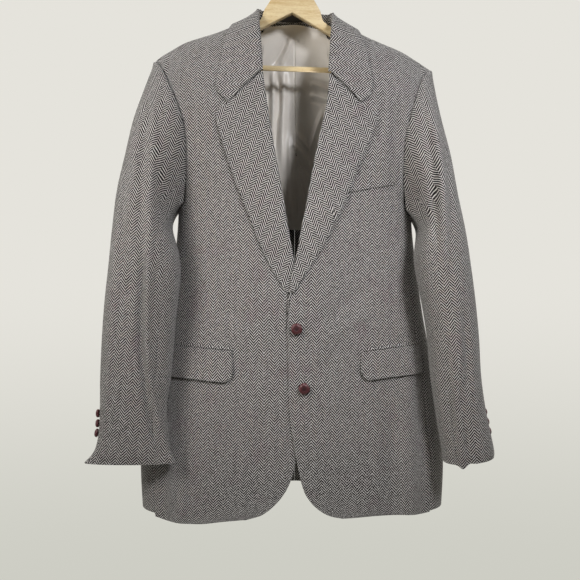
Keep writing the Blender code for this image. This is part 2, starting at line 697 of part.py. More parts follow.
def sleeve_normal(side, turn, ring):
    last = len(SLEEVE[side]) - 1.0
    ring = min(max(ring, 0.02), last - 0.02)
    du = sleeve_point(side, turn + 1.0, ring) - sleeve_point(side, turn - 1.0, ring)
    dv = sleeve_point(side, turn, ring + 0.02) - sleeve_point(side, turn, ring - 0.02)
    n = du.cross(dv).normalized()
    value = {name: along(SLEEVE[side], i, ring) for i, name in enumerate(SLEEVE_COLUMNS)}
    middle = Vector((side * 0.5 * (value["outer_x"] + value["inner_x"]),
                     0.5 * (value["front_y"] + value["back_y"]),
                     0.5 * (value["outer_z"] + value["inner_z"])))
    return n if n.dot(sleeve_point(side, turn, ring) - middle) > 0.0 else -n


def back_seam_turn(ring, rings):
    share = ring / rings
    return BACK_SEAM_TURN[0] + (BACK_SEAM_TURN[1] - BACK_SEAM_TURN[0]) * smooth(share * 1.1)


def make_sleeve_half(side, name, top_half):
    """Outer half over the front and the elbow, or the inner half against the body."""
    rings = len(SLEEVE[side]) - 1.0
    vs = [0.0, 0.025, 0.06, 0.1, 0.14, 0.18, 0.23] + [i / rings for i in range(4, 15)]

    def place(u, v):
        ring = rings * v
        start, end = back_seam_turn(ring, rings), FRONT_SEAM_TURN
        if not top_half:
            start, end = end, start + 360.0
        edge = 0.25
        return sleeve_point(side, start + edge + (end - start - 2.0 * edge) * u, ring)

    us = shares(12 if top_half else 7)
    grid = [[place(u, v) for u in us] for v in vs]
    ease = [(below - above).normalized() * ARMHOLE_SEAM for above, below in zip(*grid[:2])]
    grid[0] = [point + step for point, step in zip(grid[0], ease)]
    outside = Vector((side, -0.4, 0.0)) if top_half else Vector((-side, 0.4, 0.0))
    return shell(name, grid, CLOTH, "tweed", outside, place_normals(place, us, vs))


# ---------------------------------------------------------------- collar and lapels
def collar_value(side, name, place):
    return along(COLLAR[side], COLLAR_COLUMNS.index(name), place)


def collar_column(side, place):
    """Section of the collar: up the stand, over the fold and down the leaf."""
    neck_x = collar_value(side, "neck_x", place)
    neck_angle = collar_value(side, "neck_angle", place)
    edge_x = collar_value(side, "edge_x", place)
    edge_angle = collar_value(side, "edge_angle", place)
    stand = collar_value(side, "stand", place)
    lift = Vector((0.0, collar_value(side, "lift_y", place), collar_value(side, "lift_z", place)))
    on_back = place > 4.5
    small = 0.4 if on_back else -0.4
    base = shoulder_point(side, neck_x, neck_angle if not on_back else max(neck_angle, small))
    ahead = shoulder_point(side, collar_value(side, "neck_x", min(place + 0.1, 8.0)),
                           collar_value(side, "neck_angle", min(place + 0.1, 8.0)) + small * 0.01)
    behind = shoulder_point(side, collar_value(side, "neck_x", max(place - 0.1, 0.0)),
                            collar_value(side, "neck_angle", max(place - 0.1, 0.0)) + small * 0.01)
    run = (ahead - behind).normalized()
    up = (lift + Vector((0.0, 0.0, 1e-5))).normalized()
    out = run.cross(up) * side
    if out.dot(Vector((base.x, base.y * 0.6, 0.0))) < 0.0:
        out.negate()
    out.normalize()
    depth = CLOTH * (1.0 - smooth(stand * 1.2))
    points = [base - out * STAND_INSIDE - up * depth,
              base + lift * 0.50 - out * STAND_INSIDE,
              base + lift * 0.90 - out * STAND_INSIDE * 0.7,
              base + lift + up * 0.0016 + out * 0.0010]
    for s in (0.06, 0.16, 0.32, 0.52, 0.76, 1.0):
        x = neck_x + (edge_x - neck_x) * s
        angle = neck_angle + (edge_angle - neck_angle) * s
        if on_back:
            angle = max(angle, 0.4)
        on_body = shoulder_point(side, x, angle)
        n = surface_normal(lambda a, b: shoulder_point(side, a, math.degrees(b)),
                           x, math.radians(angle), 0.004)
        toward = Vector((0.0, on_body.y, 0.02))
        if n.dot(toward) < 0.0:
            n.negate()
        air = CLOTH + CLEAR + LAPEL_SPRING * 0.5 * s + 0.0016 * smooth(place - 3.5)
        points.append(on_body + n * air + lift * (1.0 - s) ** 2)
    return points


def make_collar():
    columns = []
    for k in range(COLLAR_STEPS + 1):
        columns.append(collar_column(RIGHT, 8.0 * k / COLLAR_STEPS))
    for k in range(COLLAR_STEPS - 1, -1, -1):
        columns.append(collar_column(LEFT, 8.0 * k / COLLAR_STEPS))
    grid = [[column[i] for column in columns] for i in range(len(columns[0]))]
    return shell("collar", grid, CLOTH, "tweed", Vector((0, 1, 0)))


def lapel_row(side, share):
    """One line across a lapel, from inside the roll to the free edge."""
    top, bottom = LAPEL_TOP[side], LAPEL_BOTTOM[side]
    roll_z = top + (bottom - top) * share
    roll_x = front_edge_x(side, roll_z)
    table = LAPEL_EDGE[side]
    tip = len(table) - 1.0
    edge = (along(table, 0, share * tip), along(table, 1, share * tip))
    notch_share = 0.66
    roll_in = -0.0006
    line = [(roll_x + roll_in, roll_z, -CLOTH), (roll_x + roll_in, roll_z, CLOTH * 0.6)]
    for s in (0.025, 0.09, 0.22, 0.40, notch_share, 0.82, 1.0):
        x = roll_x + (edge[0] - roll_x) * s
        z = roll_z + (edge[1] - roll_z) * s
        if share == 0.0:
            notch_x, notch_z = NOTCH[side]
            if s <= notch_share:
                x = roll_x + (notch_x - roll_x) * s / notch_share
                z = roll_z + (notch_z - roll_z) * s / notch_share
            else:
                rest = (s - notch_share) / (1.0 - notch_share)
                x = notch_x + (edge[0] - notch_x) * rest
                z = notch_z + (edge[1] - notch_z) * rest
        spring = LAPEL_SPRING * smooth(s * 1.6) * smooth((1.0 - share) * 2.2 - 0.2)
        line.append((x, z, CLOTH + CLEAR + spring))
    return [front_place(side, x, z, out) for x, z, out in line]


def make_lapel(side, label):
    grid = []
    for share in shares(LAPEL_ROWS):
        grid.append(lapel_row(side, share * 0.985))
    return shell("lapel_" + label, grid, CLOTH, "tweed", Vector((0, -1, 0)))


# ---------------------------------------------------------------- pockets
def flap_outline(side, u, v):
    """Point of a flap: u from its front end, v down. The front corner is round."""
    flap = FLAP[side]
    (x0, z0), (x1, z1) = flap["front"], flap["outer"]
    x = x0 + (x1 - x0) * u
    top = z0 + (z1 - z0) * u
    height = flap["height"]
    from_front = x - x0
    if from_front < FLAP_CORNER:
        rest = FLAP_CORNER - from_front
        height -= FLAP_CORNER - math.sqrt(max(FLAP_CORNER ** 2 - rest ** 2, 0.0))
    return x, top - height * v


def make_flap(side, label):
    steps = [0.0, 0.012, 0.045, 0.10, 0.16, 0.28, 0.42, 0.56, 0.70, 0.85, 1.0]
    grid = []
    for v in (0.0, 0.12, 0.35, 0.6, 0.82, 1.0):
        line = []
        for u in steps:
            x, z = flap_outline(side, u, v)
            line.append(front_place(side, x, z, 2.0 * CLEAR + FLAP_SKIN + 0.0012 * v))
        grid.append(line)
    return shell("flap_" + label, grid, FLAP_SKIN, "tweed", Vector((0, -1, 0)))


def make_jet(side, label):
    """Narrow folded strip above the flap."""
    flap = FLAP[side]
    (x0, z0), (x1, z1) = flap["front"], flap["outer"]
    grid = []
    for v, out in ((0.0, 0.0009), (0.3, 0.0019), (0.7, 0.0019), (1.0, 0.0013)):
        line = []
        for u in shares(7):
            x = x0 + (x1 - x0) * u
            z = z0 + (z1 - z0) * u + JET_HEIGHT * (1.0 - v) + 0.0004
            line.append(front_place(side, x, z, 2.0 * CLEAR + out))
        grid.append(line)
    return shell("jet_" + label, grid, 0.0009, "tweed", Vector((0, -1, 0)))


def make_breast_welt():
    top_in, top_out, bottom_out, bottom_in = [Vector((x, 0, z)) for x, z in WELT_CORNERS]
    grid = []
    for v in shares(4):
        line = []
        for u in shares(8):
            top = top_in.lerp(top_out, u)
            bottom = bottom_in.lerp(bottom_out, u)
            place = top.lerp(bottom, v)
            line.append(front_place(LEFT, place.x, place.z, 0.0004 + 0.0016))
        grid.append(line)
    return shell("breast_welt", grid, 0.0015, "tweed", Vector((0, -1, 0)))


# ---------------------------------------------------------------- lining and label
def make_lining():
    """Half lining inside the backs, from the neck seam to its own hem."""
    inside = CLOTH + LINING_AIR
    grid = []
    for share in (0.004, 0.05, 0.12, 0.22, 0.34, 0.48, 0.62, 0.78, 1.0):
        line = []
        for u in shares(15):
            w = 2.0 * u - 1.0
            side = LEFT if w >= 0.0 else RIGHT
            top_x = abs(w) * LINING_HALF_WIDTH
            top = shoulder_z(side, top_x) - 0.0030 - 0.024 * smooth((top_x - 0.03) / 0.03)
            z = top + (LINING_END - top) * share
            x = min(top_x, armhole_x(side, z, "back_x") - 0.012)
            y = back_y(side, x, z)
            point = Vector((side * x, y, z))
            n = surface_normal(lambda a, b: Vector((side * a, back_y(side, abs(a), b), b)),
                               max(x, 0.001), z)
            if n.y < 0.0:
                n.negate()
            line.append(point - n * (inside + SATIN))
        grid.append(line)
    return shell("lining_back", grid, SATIN, "satin", Vector((0, -1, 0)))


def make_label():
    """Woven label inside the collar stand, at the centre back."""
    grid = []
    for v in shares(3):
        line = []
        for u in shares(7):
            x = (u - 0.5) * LABEL["width"]
            side = LEFT if x >= 0.0 else RIGHT
            z = LABEL["top"] + (LABEL["bottom"] - LABEL["top"]) * v
            y = neck_y(side, abs(x)) - LABEL_AIR - SATIN
            line.append(Vector((x, y, z)))
        grid.append(line)
    return shell("neck_label", grid, SATIN, "label", Vector((0, -1, 0)))


# ---------------------------------------------------------------- buttons
def make_button(name, centre, axis, radius, segments, rings):
    """Domed leather knot, turned about its axis."""
    height = radius * 0.42
    axis = axis.normalized()
    across = axis.orthogonal().normalized()
    other = axis.cross(across)
    vertices = [centre + axis * height]
    for i in range(1, rings):
        latitude = math.pi * i / rings
        for j in range(segments):
            turn = 2.0 * math.pi * j / segments
            spread = radius * math.sin(latitude)
            vertices.append(centre + axis * (height * math.cos(latitude))
                            + across * (spread * math.cos(turn)) + other * (spread * math.sin(turn)))
    vertices.append(centre - axis * height)
    last = len(vertices) - 1
    faces = []
    for j in range(segments):
        k = (j + 1) % segments
        faces.append((0, 1 + j, 1 + k))
        for i in range(rings - 2):
            a = 1 + i * segments
            faces.append((a + j, a + segments + j, a + segments + k, a + k))
        a = 1 + (rings - 2) * segments
        faces.append((a + k, a + j, last))
    return add_object(name, vertices, faces, "leather", 60.0)


def make_buttons():
    for i, (x, z) in enumerate(FRONT_BUTTONS):
        centre = front_place(LEFT, x, z, FRONT_BUTTON_RADIUS * 0.42 + 0.0006)
        make_button("front_button_%d" % (i + 1), centre, Vector((0, -1, 0)),
                    FRONT_BUTTON_RADIUS, 16, 8)
    for side, label in SIDES:
        rings = SLEEVE[side]
        for i, z in enumerate(CUFF_BUTTON_Z):
            low, high = 0.0, len(rings) - 1.0
            for _ in range(40):
                mid = 0.5 * (low + high)
                if sleeve_point(side, 0.0, mid).z > z:
                    low = mid
                else:
                    high = mid
            n = sleeve_normal(side, CUFF_BUTTON_TURN[side], low)
            centre = sleeve_point(side, CUFF_BUTTON_TURN[side], low)
            centre += n * (CUFF_BUTTON_RADIUS * 0.42 + 0.0009)
            make_button("cuff_button_%s_%d" % (label, i + 1), centre, n,
                        CUFF_BUTTON_RADIUS, 12, 6)


# ---------------------------------------------------------------- hanger
def tilted(point):
    """Turn about the hook, clockwise as seen from the front."""
    c, s = math.cos(HANGER_TILT), math.sin(HANGER_TILT)
    return Vector((point.x * c + point.z * s, point.y, -point.x * s + point.z * c))


def make_hanger_body():
    half = HANGER_THICKNESS * 0.5
    edge = HANGER_CHAMFER
    stations = [(-x, top, bottom) for x, top, bottom in reversed(HANGER[1:])] + list(HANGER)
    vertices = []
    for x, top, bottom in stations:
        for y, z in ((-half, top - edge), (-half + edge, top), (half - edge, top),
                     (half, top - edge), (half, bottom + edge), (half - edge, bottom),
                     (-half + edge, bottom), (-half, bottom + edge)):
            vertices.append(tilted(Vector((x, y, z))))
    faces = []
    for i in range(len(stations) - 1):
        for j in range(8):
            k = (j + 1) % 8
            faces.append((i * 8 + j, (i + 1) * 8 + j, (i + 1) * 8 + k, i * 8 + k))
    faces.append(tuple(range(8)))
    faces.append(tuple((len(stations) - 1) * 8 + j for j in range(7, -1, -1)))
    return add_object("hanger_body", vertices, faces, "wood", 30.0)


def make_hanger_bar():
    """Round rod under the arms, its ends cut along their undersides."""
    slope = (HANGER[-4][2] - HANGER[0][2]) / (HANGER[-4][0] - HANGER[0][0])
    vertices = []
    for end in (-1.0, 1.0):
        for j in range(BAR_SIDES):
            turn = 2.0 * math.pi * j / BAR_SIDES
            z = BAR_Z + BAR_RADIUS * math.sin(turn)
            x = (z + BAR_GAP - HANGER[0][2]) / slope
            vertices.append(tilted(Vector((end * x, BAR_RADIUS * math.cos(turn), z))))
    faces = [((j + 1) % BAR_SIDES, BAR_SIDES + (j + 1) % BAR_SIDES, BAR_SIDES + j, j)
             for j in range(BAR_SIDES)]
    faces.append(tuple(range(BAR_SIDES - 1, -1, -1)))
    faces.append(tuple(BAR_SIDES + j for j in range(BAR_SIDES)))
    return add_object("hanger_bar", vertices, faces, "wood", 30.0)


def make_hanger_hook():
    """Steel wire: a straight stem, then round and over to a free end."""
    radius = HOOK_RADIUS + HOOK_WIRE
    points = list(HOOK_STEM)
    for degrees in range(*HOOK_TURN):
        turn = math.radians(degrees)
        points.append((radius * math.cos(turn), radius * math.sin(turn) - HOOK_RADIUS))
    middle = []
    for x, z in points:
        place = Vector((x, 0.0, z))
        middle.append(place.lerp(tilted(place), smooth((-0.02 - z) / 0.03)))
    vertices = []
    for i, place in enumerate(middle):
        run = (middle[min(i + 1, len(middle) - 1)] - middle[max(i - 1, 0)]).normalized()
        side = Vector((0.0, 1.0, 0.0)).cross(run)
        for j in range(HOOK_SIDES):
            turn = 2.0 * math.pi * j / HOOK_SIDES
            vertices.append(place + HOOK_WIRE * (side * math.cos(turn)
                                                 + Vector((0.0, math.sin(turn), 0.0))))
    faces = []
    for i in range(len(middle) - 1):
        for j in range(HOOK_SIDES):
            k = (j + 1) % HOOK_SIDES
            a, b = i * HOOK_SIDES, (i + 1) * HOOK_SIDES
            faces.append((a + j, a + k, b + k, b + j))
    faces.append(tuple(range(HOOK_SIDES - 1, -1, -1)))
    faces.append(tuple((len(middle) - 1) * HOOK_SIDES + j for j in range(HOOK_SIDES)))
    return add_object("hanger_hook", vertices, faces, "steel")


# ---------------------------------------------------------------- assembly
for old in list(bpy.data.objects):
    bpy.data.objects.remove(old, do_unlink=True)

for one_side, one_label in SIDES:
    make_front(one_side, one_label)
    make_side_panel(one_side, one_label)
    make_back(one_side, one_label)
    make_sleeve_half(one_side, "top_sleeve_" + one_label, True)
    make_sleeve_half(one_side, "under_sleeve_" + one_label, False)
    make_lapel(one_side, one_label)
    make_flap(one_side, one_label)
    make_jet(one_side, one_label)
make_collar()
make_breast_welt()
make_lining()
make_label()
make_buttons()
make_hanger_body()
make_hanger_bar()
make_hanger_hook()
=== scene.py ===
"""Tweed hacking jacket on a wooden hanger: the finished look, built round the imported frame."""
import math

import bpy
import numpy as np
from mathutils import Matrix, Vector


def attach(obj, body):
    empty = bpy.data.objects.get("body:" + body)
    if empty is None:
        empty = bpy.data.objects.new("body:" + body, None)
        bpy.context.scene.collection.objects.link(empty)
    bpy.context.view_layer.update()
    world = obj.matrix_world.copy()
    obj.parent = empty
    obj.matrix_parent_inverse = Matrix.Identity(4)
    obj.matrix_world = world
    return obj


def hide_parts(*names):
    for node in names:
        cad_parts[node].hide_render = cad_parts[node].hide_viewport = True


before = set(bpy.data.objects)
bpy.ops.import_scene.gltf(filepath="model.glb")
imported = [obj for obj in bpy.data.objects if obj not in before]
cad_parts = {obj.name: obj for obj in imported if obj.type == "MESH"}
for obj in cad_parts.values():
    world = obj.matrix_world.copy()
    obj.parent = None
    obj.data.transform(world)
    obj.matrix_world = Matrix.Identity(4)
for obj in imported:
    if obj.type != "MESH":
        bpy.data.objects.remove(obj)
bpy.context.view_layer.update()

# ============================================================================ fronts
# The two fronts are single pieces of herringbone tweed, cut from shoulder to hem with the
# grain upright. A fusible canvas holds their chests smooth, a dart shapes each one under
# the chest, and the wearer's left one buttons over the right.

# Sizes are metres, and x runs outwards from the centre line on both sides.
LEFT, RIGHT = 1, -1                     # the wearer's left is +X
SIDES = ((LEFT, "left"), (RIGHT, "right"))
CLOTH = 0.0018                          # thickness of the tweed
CLEAR = 0.0005                          # air under cloth that lies on cloth
SEAM = 0.0001                           # each edge stands this far back from its seam
FRONT_ROLL, BACK_ROLL = 0.130, 0.110    # heights over which the shoulder turns down
FOLD_RADIUS = 0.0026                    # the roll of lapels and collar

BODY = {
    "z": (-0.110, -0.220, -0.340, -0.440, -0.580, -0.700, -0.800, -0.870, -0.960),
    "half_width": (0.290, 0.275, 0.236, 0.196, 0.210, 0.230, 0.244, 0.253, 0.249),
    "side_y": (0.000, 0.002, 0.006, 0.010, 0.012, 0.014, 0.014, 0.012, 0.012),
    "front_y": (-0.054, -0.060, -0.063, -0.064, -0.062, -0.060, -0.058, -0.056, -0.054),
    "back_y": (0.046, 0.052, 0.055, 0.056, 0.055, 0.054, 0.054, 0.055, 0.056),
    "square": (2.6, 2.6, 2.5, 2.3, 2.2, 2.2, 2.3, 2.4, 2.4),
}
HEM_FLARE = {LEFT: 0.990, RIGHT: 1.028}
HEM_FLARE_Z = (-0.70, -0.86)
SHOULDER = {
    LEFT: {"x": (0.062, 0.088, 0.1163, 0.1466, 0.1778, 0.2037, 0.2267),
           "z": (-0.1290, -0.1392, -0.1545, -0.1678, -0.1812, -0.1970, -0.2121)},
    RIGHT: {"x": (0.060, 0.092, 0.130, 0.1827, 0.2051, 0.2281, 0.2341),
            "z": (-0.1225, -0.1340, -0.1492, -0.1660, -0.1783, -0.1925, -0.1986)},
}
NECK_HALF_WIDTH = {LEFT: 0.062, RIGHT: 0.060}
BACK_NECK_Z = -0.1180
BACK_NECK_Y = 0.044
ARMHOLE = {
    "drop": (0.000, 0.018, 0.045, 0.085, 0.115, 0.145, 0.185, 0.235),
    "front_x": (0.2300, 0.2140, 0.2020, 0.1880, 0.1800, 0.1770, 0.1775, 0.1815),
    "back_x": (0.2300, 0.2170, 0.2070, 0.1960, 0.1900, 0.1870, 0.1870, 0.1850),
}
ARMHOLE_SIDE_DROP = 0.235
ARMHOLE_DEPTH = 0.252
BACK_HEM = {"x": (0.000, 0.120, 0.200, 0.260), "z": (-0.914, -0.920, -0.930, -0.938)}
FRONT_HEM = {
    LEFT: {"x": (0.000, 0.074, 0.139, 0.200, 0.260),
           "z": (-0.9484, -0.9484, -0.9455, -0.9465, -0.943)},
    RIGHT: {"x": (0.000, 0.077, 0.110, 0.172, 0.220, 0.270),
            "z": (-0.9508, -0.9508, -0.9538, -0.9610, -0.955, -0.945)},
}
FRONT_EDGE = {
    LEFT: {"z": (-0.110, -0.1640, -0.2187, -0.2752, -0.3315, -0.3902, -0.4466, -0.4834,
                 -0.5240, -0.5720, -0.6280, -0.6888, -0.7504, -0.7912, -0.8322, -0.8620,
                 -0.8856, -0.9050, -0.9212, -0.9367, -0.9449, -0.9484),
           "x": (0.0640, 0.0612, 0.0565, 0.0512, 0.0392, 0.0269, 0.0171, 0.0096,
                 0.0022, -0.0080, -0.0126, -0.0115, -0.0106, -0.0075, -0.0016, 0.0040,
                 0.0090, 0.0150, 0.0253, 0.0420, 0.0590, 0.0760)},
    RIGHT: {"z": (-0.105, -0.1600, -0.2177, -0.2808, -0.3496, -0.4080, -0.4744, -0.5376,
                  -0.5800, -0.6280, -0.6888, -0.7500, -0.7912, -0.8300, -0.8648, -0.8872,
                  -0.9070, -0.9265, -0.9427, -0.9508),
            "x": (0.0600, 0.0576, 0.0528, 0.0442, 0.0331, 0.0224, 0.0112, 0.0000,
                  -0.0096, -0.0170, -0.0184, -0.0176, -0.0128, -0.0048, 0.0000, 0.0068,
                  0.0165, 0.0325, 0.0535, 0.0790)},
}
LAP = {"z": (-0.430, -0.500, -0.620, -0.680, -0.870, -0.960),
       "lift": (0.0, 0.0050, 0.0050, 0.0028, 0.0028, 0.0010)}
LAP_FULL_X, LAP_FADE_X = 0.024, 0.085
LAPEL_BOTTOM = {LEFT: -0.5850, RIGHT: -0.5900}
FRONT_SEAM_SHARE = 0.90                 # of the half width, at the hem
FRONT_CUT = {LEFT: ((0.231, 0.884), 0.1504), RIGHT: ((0.242, 0.895), 0.1576)}

# Large soft folds: face, side, x, slope, z, width, length, height.
SOFT_FOLDS = (
    ("front", RIGHT, 0.205, 0.10, -0.900, 0.016, 0.080, 0.0060),
    ("front", RIGHT, 0.172, 0.05, -0.905, 0.014, 0.090, -0.0040),
    ("front", LEFT, 0.190, -0.08, -0.900, 0.016, 0.090, 0.0050),
    ("front", LEFT, 0.155, 0.00, -0.820, 0.018, 0.150, -0.0030),
    ("front", RIGHT, 0.120, 0.12, -0.560, 0.030, 0.120, -0.0030),
    ("front", LEFT, 0.110, 0.00, -0.560, 0.028, 0.120, -0.0030),
    ("back", RIGHT, 0.130, 0.00, -0.780, 0.026, 0.180, -0.0040),
    ("back", LEFT, 0.115, 0.04, -0.760, 0.024, 0.200, -0.0045),
    ("back", LEFT, 0.170, -0.06, -0.420, 0.022, 0.110, 0.0035),
    ("back", RIGHT, 0.165, -0.05, -0.430, 0.022, 0.120, 0.0035),
)
# Creases drawn as lines on each face: height, half width, then the line's (x, z) points.
FRONT_CREASES = {
    RIGHT: (
        (-0.0007, 0.0016, ((0.1192, -0.400), (0.1232, -0.548), (0.1272, -0.662))),
        (0.0022, 0.0080, ((0.163, -0.845), (0.1776, -0.9032), (0.1890, -0.965))),
        (-0.0030, 0.0060, ((0.178, -0.850), (0.1900, -0.9059), (0.2030, -0.965))),
        (-0.0022, 0.0120, ((0.168, -0.250), (0.158, -0.330), (0.150, -0.430))),
        (0.0016, 0.0100, ((0.147, -0.240), (0.140, -0.330), (0.132, -0.420))),
        (-0.0020, 0.0090, ((0.060, -0.640), (0.110, -0.610), (0.160, -0.560))),
        (0.0014, 0.0080, ((0.055, -0.665), (0.105, -0.640), (0.165, -0.600))),
        (-0.0016, 0.0110, ((0.050, -0.760), (0.060, -0.840), (0.066, -0.930))),
    ),
    LEFT: (
        (-0.0007, 0.0016, ((0.0600, -0.420), (0.0640, -0.560), (0.0715, -0.670))),
        (-0.0024, 0.0100, ((0.170, -0.260), (0.164, -0.340), (0.162, -0.440))),
        (0.0014, 0.0090, ((0.152, -0.250), (0.146, -0.340), (0.142, -0.400))),
        (-0.0020, 0.0090, ((0.020, -0.645), (0.060, -0.618), (0.120, -0.575))),
        (0.0016, 0.0080, ((0.030, -0.668), (0.075, -0.645), (0.130, -0.610))),
        (-0.0018, 0.0100, ((0.024, -0.735), (0.052, -0.700), (0.085, -0.660))),
        (0.0018, 0.0110, ((0.128, -0.760), (0.132, -0.840), (0.138, -0.950))),
        (-0.0020, 0.0100, ((0.160, -0.770), (0.164, -0.850), (0.168, -0.960))),
    ),
}
BACK_CREASES = {
    RIGHT: (
        (-0.0022, 0.0110, ((0.150, -0.300), (0.156, -0.400), (0.150, -0.500))),
        (0.0018, 0.0100, ((0.080, -0.560), (0.090, -0.700), (0.086, -0.860))),
        (-0.0016, 0.0090, ((0.030, -0.600), (0.080, -0.572), (0.140, -0.540))),
    ),
    LEFT: (
        (-0.0022, 0.0110, ((0.156, -0.310), (0.160, -0.410), (0.152, -0.520))),
        (0.0018, 0.0110, ((0.070, -0.520), (0.066, -0.680), (0.074, -0.840))),
        (-0.0016, 0.0090, ((0.020, -0.640), (0.070, -0.606), (0.150, -0.560))),
    ),
}


def smooth(t):
    t = np.clip(t, 0.0, 1.0)
    return t * t * (3.0 - 2.0 * t)


def read(table, key, column, at):
    """Column of a table, read smoothly and without overshoot where `key` is `at`."""
    xs, ys = np.array(table[key], float), np.array(table[column], float)
    order = np.argsort(xs)
    xs, ys = xs[order], ys[order]
    slope = np.diff(ys) / np.diff(xs)
    both = slope[:-1] + slope[1:]
    same = slope[:-1] * slope[1:] > 0.0
    middle = np.where(same, 2.0 * slope[:-1] * slope[1:] / np.where(same, both, 1.0), 0.0)
    tangent = np.concatenate(([slope[0]], middle, [slope[-1]]))
    at = np.clip(at, xs[0], xs[-1])
    i = np.clip(np.searchsorted(xs, at, side="right") - 1, 0, len(xs) - 2)
    h = xs[i + 1] - xs[i]
    t = (at - xs[i]) / h
    return (ys[i] * (1 + 2 * t) * (1 - t) ** 2 + tangent[i] * h * t * (1 - t) ** 2
            + ys[i + 1] * t * t * (3 - 2 * t) + tangent[i + 1] * h * t * t * (t - 1))


def along(values, place):
    """Smooth curve through a column's values, at a place counted in rows."""
    values = np.asarray(values, float)
    last = len(values) - 1
    place = np.clip(place, 0.0, last)
    i = np.minimum(place.astype(int), last - 1)
    t = (place - i).reshape(place.shape + (1,) * (values.ndim - 1))
    a, b, c, d = [values[np.clip(i + k, 0, last)] for k in (-1, 0, 1, 2)]
    return 0.5 * (2 * b + (c - a) * t + (2 * a - 5 * b + 4 * c - d) * t * t
                  + (3 * b - a - 3 * c + d) * t ** 3)


def crease_height(lines, x, z):
    """Sum of the drawn creases: round ridges and troughs that die out at their ends."""
    total = np.zeros(np.broadcast(x, z).shape)
    for height, width, path in lines:
        path = np.array(path)
        step = np.diff(path, axis=0)
        length = np.hypot(step[:, 0], step[:, 1])
        start = np.concatenate(([0.0], np.cumsum(length)[:-1]))
        nearest = np.full(total.shape, 1e9)
        share = np.zeros(total.shape)
        for (x0, z0), (dx, dz), size, before in zip(path, step, length, start):
            t = np.clip(((x - x0) * dx + (z - z0) * dz) / size ** 2, 0.0, 1.0)
            distance = np.hypot(x - x0 - t * dx, z - z0 - t * dz)
            share = np.where(distance < nearest, (before + t * size) / length.sum(), share)
            nearest = np.minimum(nearest, distance)
        ends = smooth(share / 0.22) * smooth((1.0 - share) / 0.22)
        total += height * np.exp(-(nearest / width) ** 2) * ends
    return total


def soft_folds(face, side, x, z):
    total = 0.0
    for where, fold_side, x0, slope, z0, width, length, height in SOFT_FOLDS:
        if where == face and fold_side == side:
            across = (x - x0 - slope * (z - z0)) / width
            total = total + height * np.exp(-across ** 2 - ((z - z0) / length) ** 2)
    return total


def half_width(side, z):
    start, end = HEM_FLARE_Z
    flare = 1.0 + (HEM_FLARE[side] - 1.0) * smooth((start - z) / (start - end))
    return read(BODY, "z", "half_width", z) * flare


def shoulder_z(side, x):
    neck = NECK_HALF_WIDTH[side]
    inside = BACK_NECK_Z + (SHOULDER[side]["z"][0] - BACK_NECK_Z) * smooth(x / neck)
    return np.where(x >= neck, read(SHOULDER[side], "x", "z", x), inside)


def neck_y(side, x):
    return BACK_NECK_Y * np.sqrt(np.maximum(1.0 - (x / NECK_HALF_WIDTH[side]) ** 2, 0.0))


def plan_depth(side, x, z):
    """0 at the side of the body's plan section, 1 at its middle."""
    share = np.minimum(np.abs(x) / half_width(side, z), 1.0)
    square = read(BODY, "z", "square", z)
    return np.maximum(1.0 - share ** square, 0.0) ** (1.0 / square)


def front_y(side, x, z):
    """Outer face of a front."""
    side_y = read(BODY, "z", "side_y", z)
    full = side_y + (read(BODY, "z", "front_y", z) - side_y) * plan_depth(side, x, z)
    drop = np.maximum(shoulder_z(side, np.maximum(x, NECK_HALF_WIDTH[side])) - z, 0.0)
    t = np.minimum(drop / FRONT_ROLL, 1.0)
    y = full * np.sqrt(t * (2.0 - t)) - soft_folds("front", side, x, z)
    y = y - crease_height(FRONT_CREASES[side], x, z) * smooth(drop / 0.05)
    if side == LEFT:
        near = 1.0 - smooth((x - LAP_FULL_X) / (LAP_FADE_X - LAP_FULL_X))
        y = y - read(LAP, "z", "lift", z) * near
    return y


def back_y(side, x, z):
    """Outer face of a back."""
    side_y = read(BODY, "z", "side_y", z)
    full = side_y + (read(BODY, "z", "back_y", z) - side_y) * plan_depth(side, x, z)
    drop = np.maximum(shoulder_z(side, x) - z, 0.0)
    t = np.minimum(drop / BACK_ROLL, 1.0)
    top = neck_y(side, x)
    creases = crease_height(BACK_CREASES[side], x, z) * smooth(drop / 0.05)
    return top + (full - top) * np.sqrt(t * (2.0 - t)) + soft_folds("back", side, x, z) + creases


def point(side, x, y, z):
    x, y, z = np.broadcast_arrays(x, y, z)
    return np.stack((side * x, y, z), axis=-1)


def on_front(side, x, z, out=0.0):
    """Point on a front, moved out from it."""
    h = 0.0008
    slope_x = (front_y(side, x + h, z) - front_y(side, x - h, z)) / (2 * h) * side
    slope_z = (front_y(side, x, z + h) - front_y(side, x, z - h)) / (2 * h)
    normal = np.stack(np.broadcast_arrays(slope_x, -1.0, slope_z), axis=-1)
    normal = normal / np.linalg.norm(normal, axis=-1, keepdims=True)
    return point(side, x, front_y(side, x, z), z) + normal * np.asarray(out)[..., None]


def armhole_x(side, z, face):
    drop = SHOULDER[side]["z"][-1] - z
    x = read(ARMHOLE, "drop", face, drop)
    return x + (SHOULDER[side]["x"][-1] - ARMHOLE["front_x"][0]) * (1.0 - smooth(drop / 0.10))


def seam_x(side, z, face, hem_share):
    """Seam between the side panel and a front or a back."""
    level = SHOULDER[side]["z"][-1] - ARMHOLE_SIDE_DROP
    share = armhole_x(side, level, face) / half_width(side, level)
    below = half_width(side, z) * (share + (hem_share - share) * smooth((level - z) / 0.20))
    return np.where(z >= level, armhole_x(side, z, face), below)


def front_row_z(side, x, share):
    top = shoulder_z(side, np.maximum(x, NECK_HALF_WIDTH[side]))
    hem = read(FRONT_HEM[side], "x", "z", np.maximum(x, 0.0))
    return top + (hem - top) * share


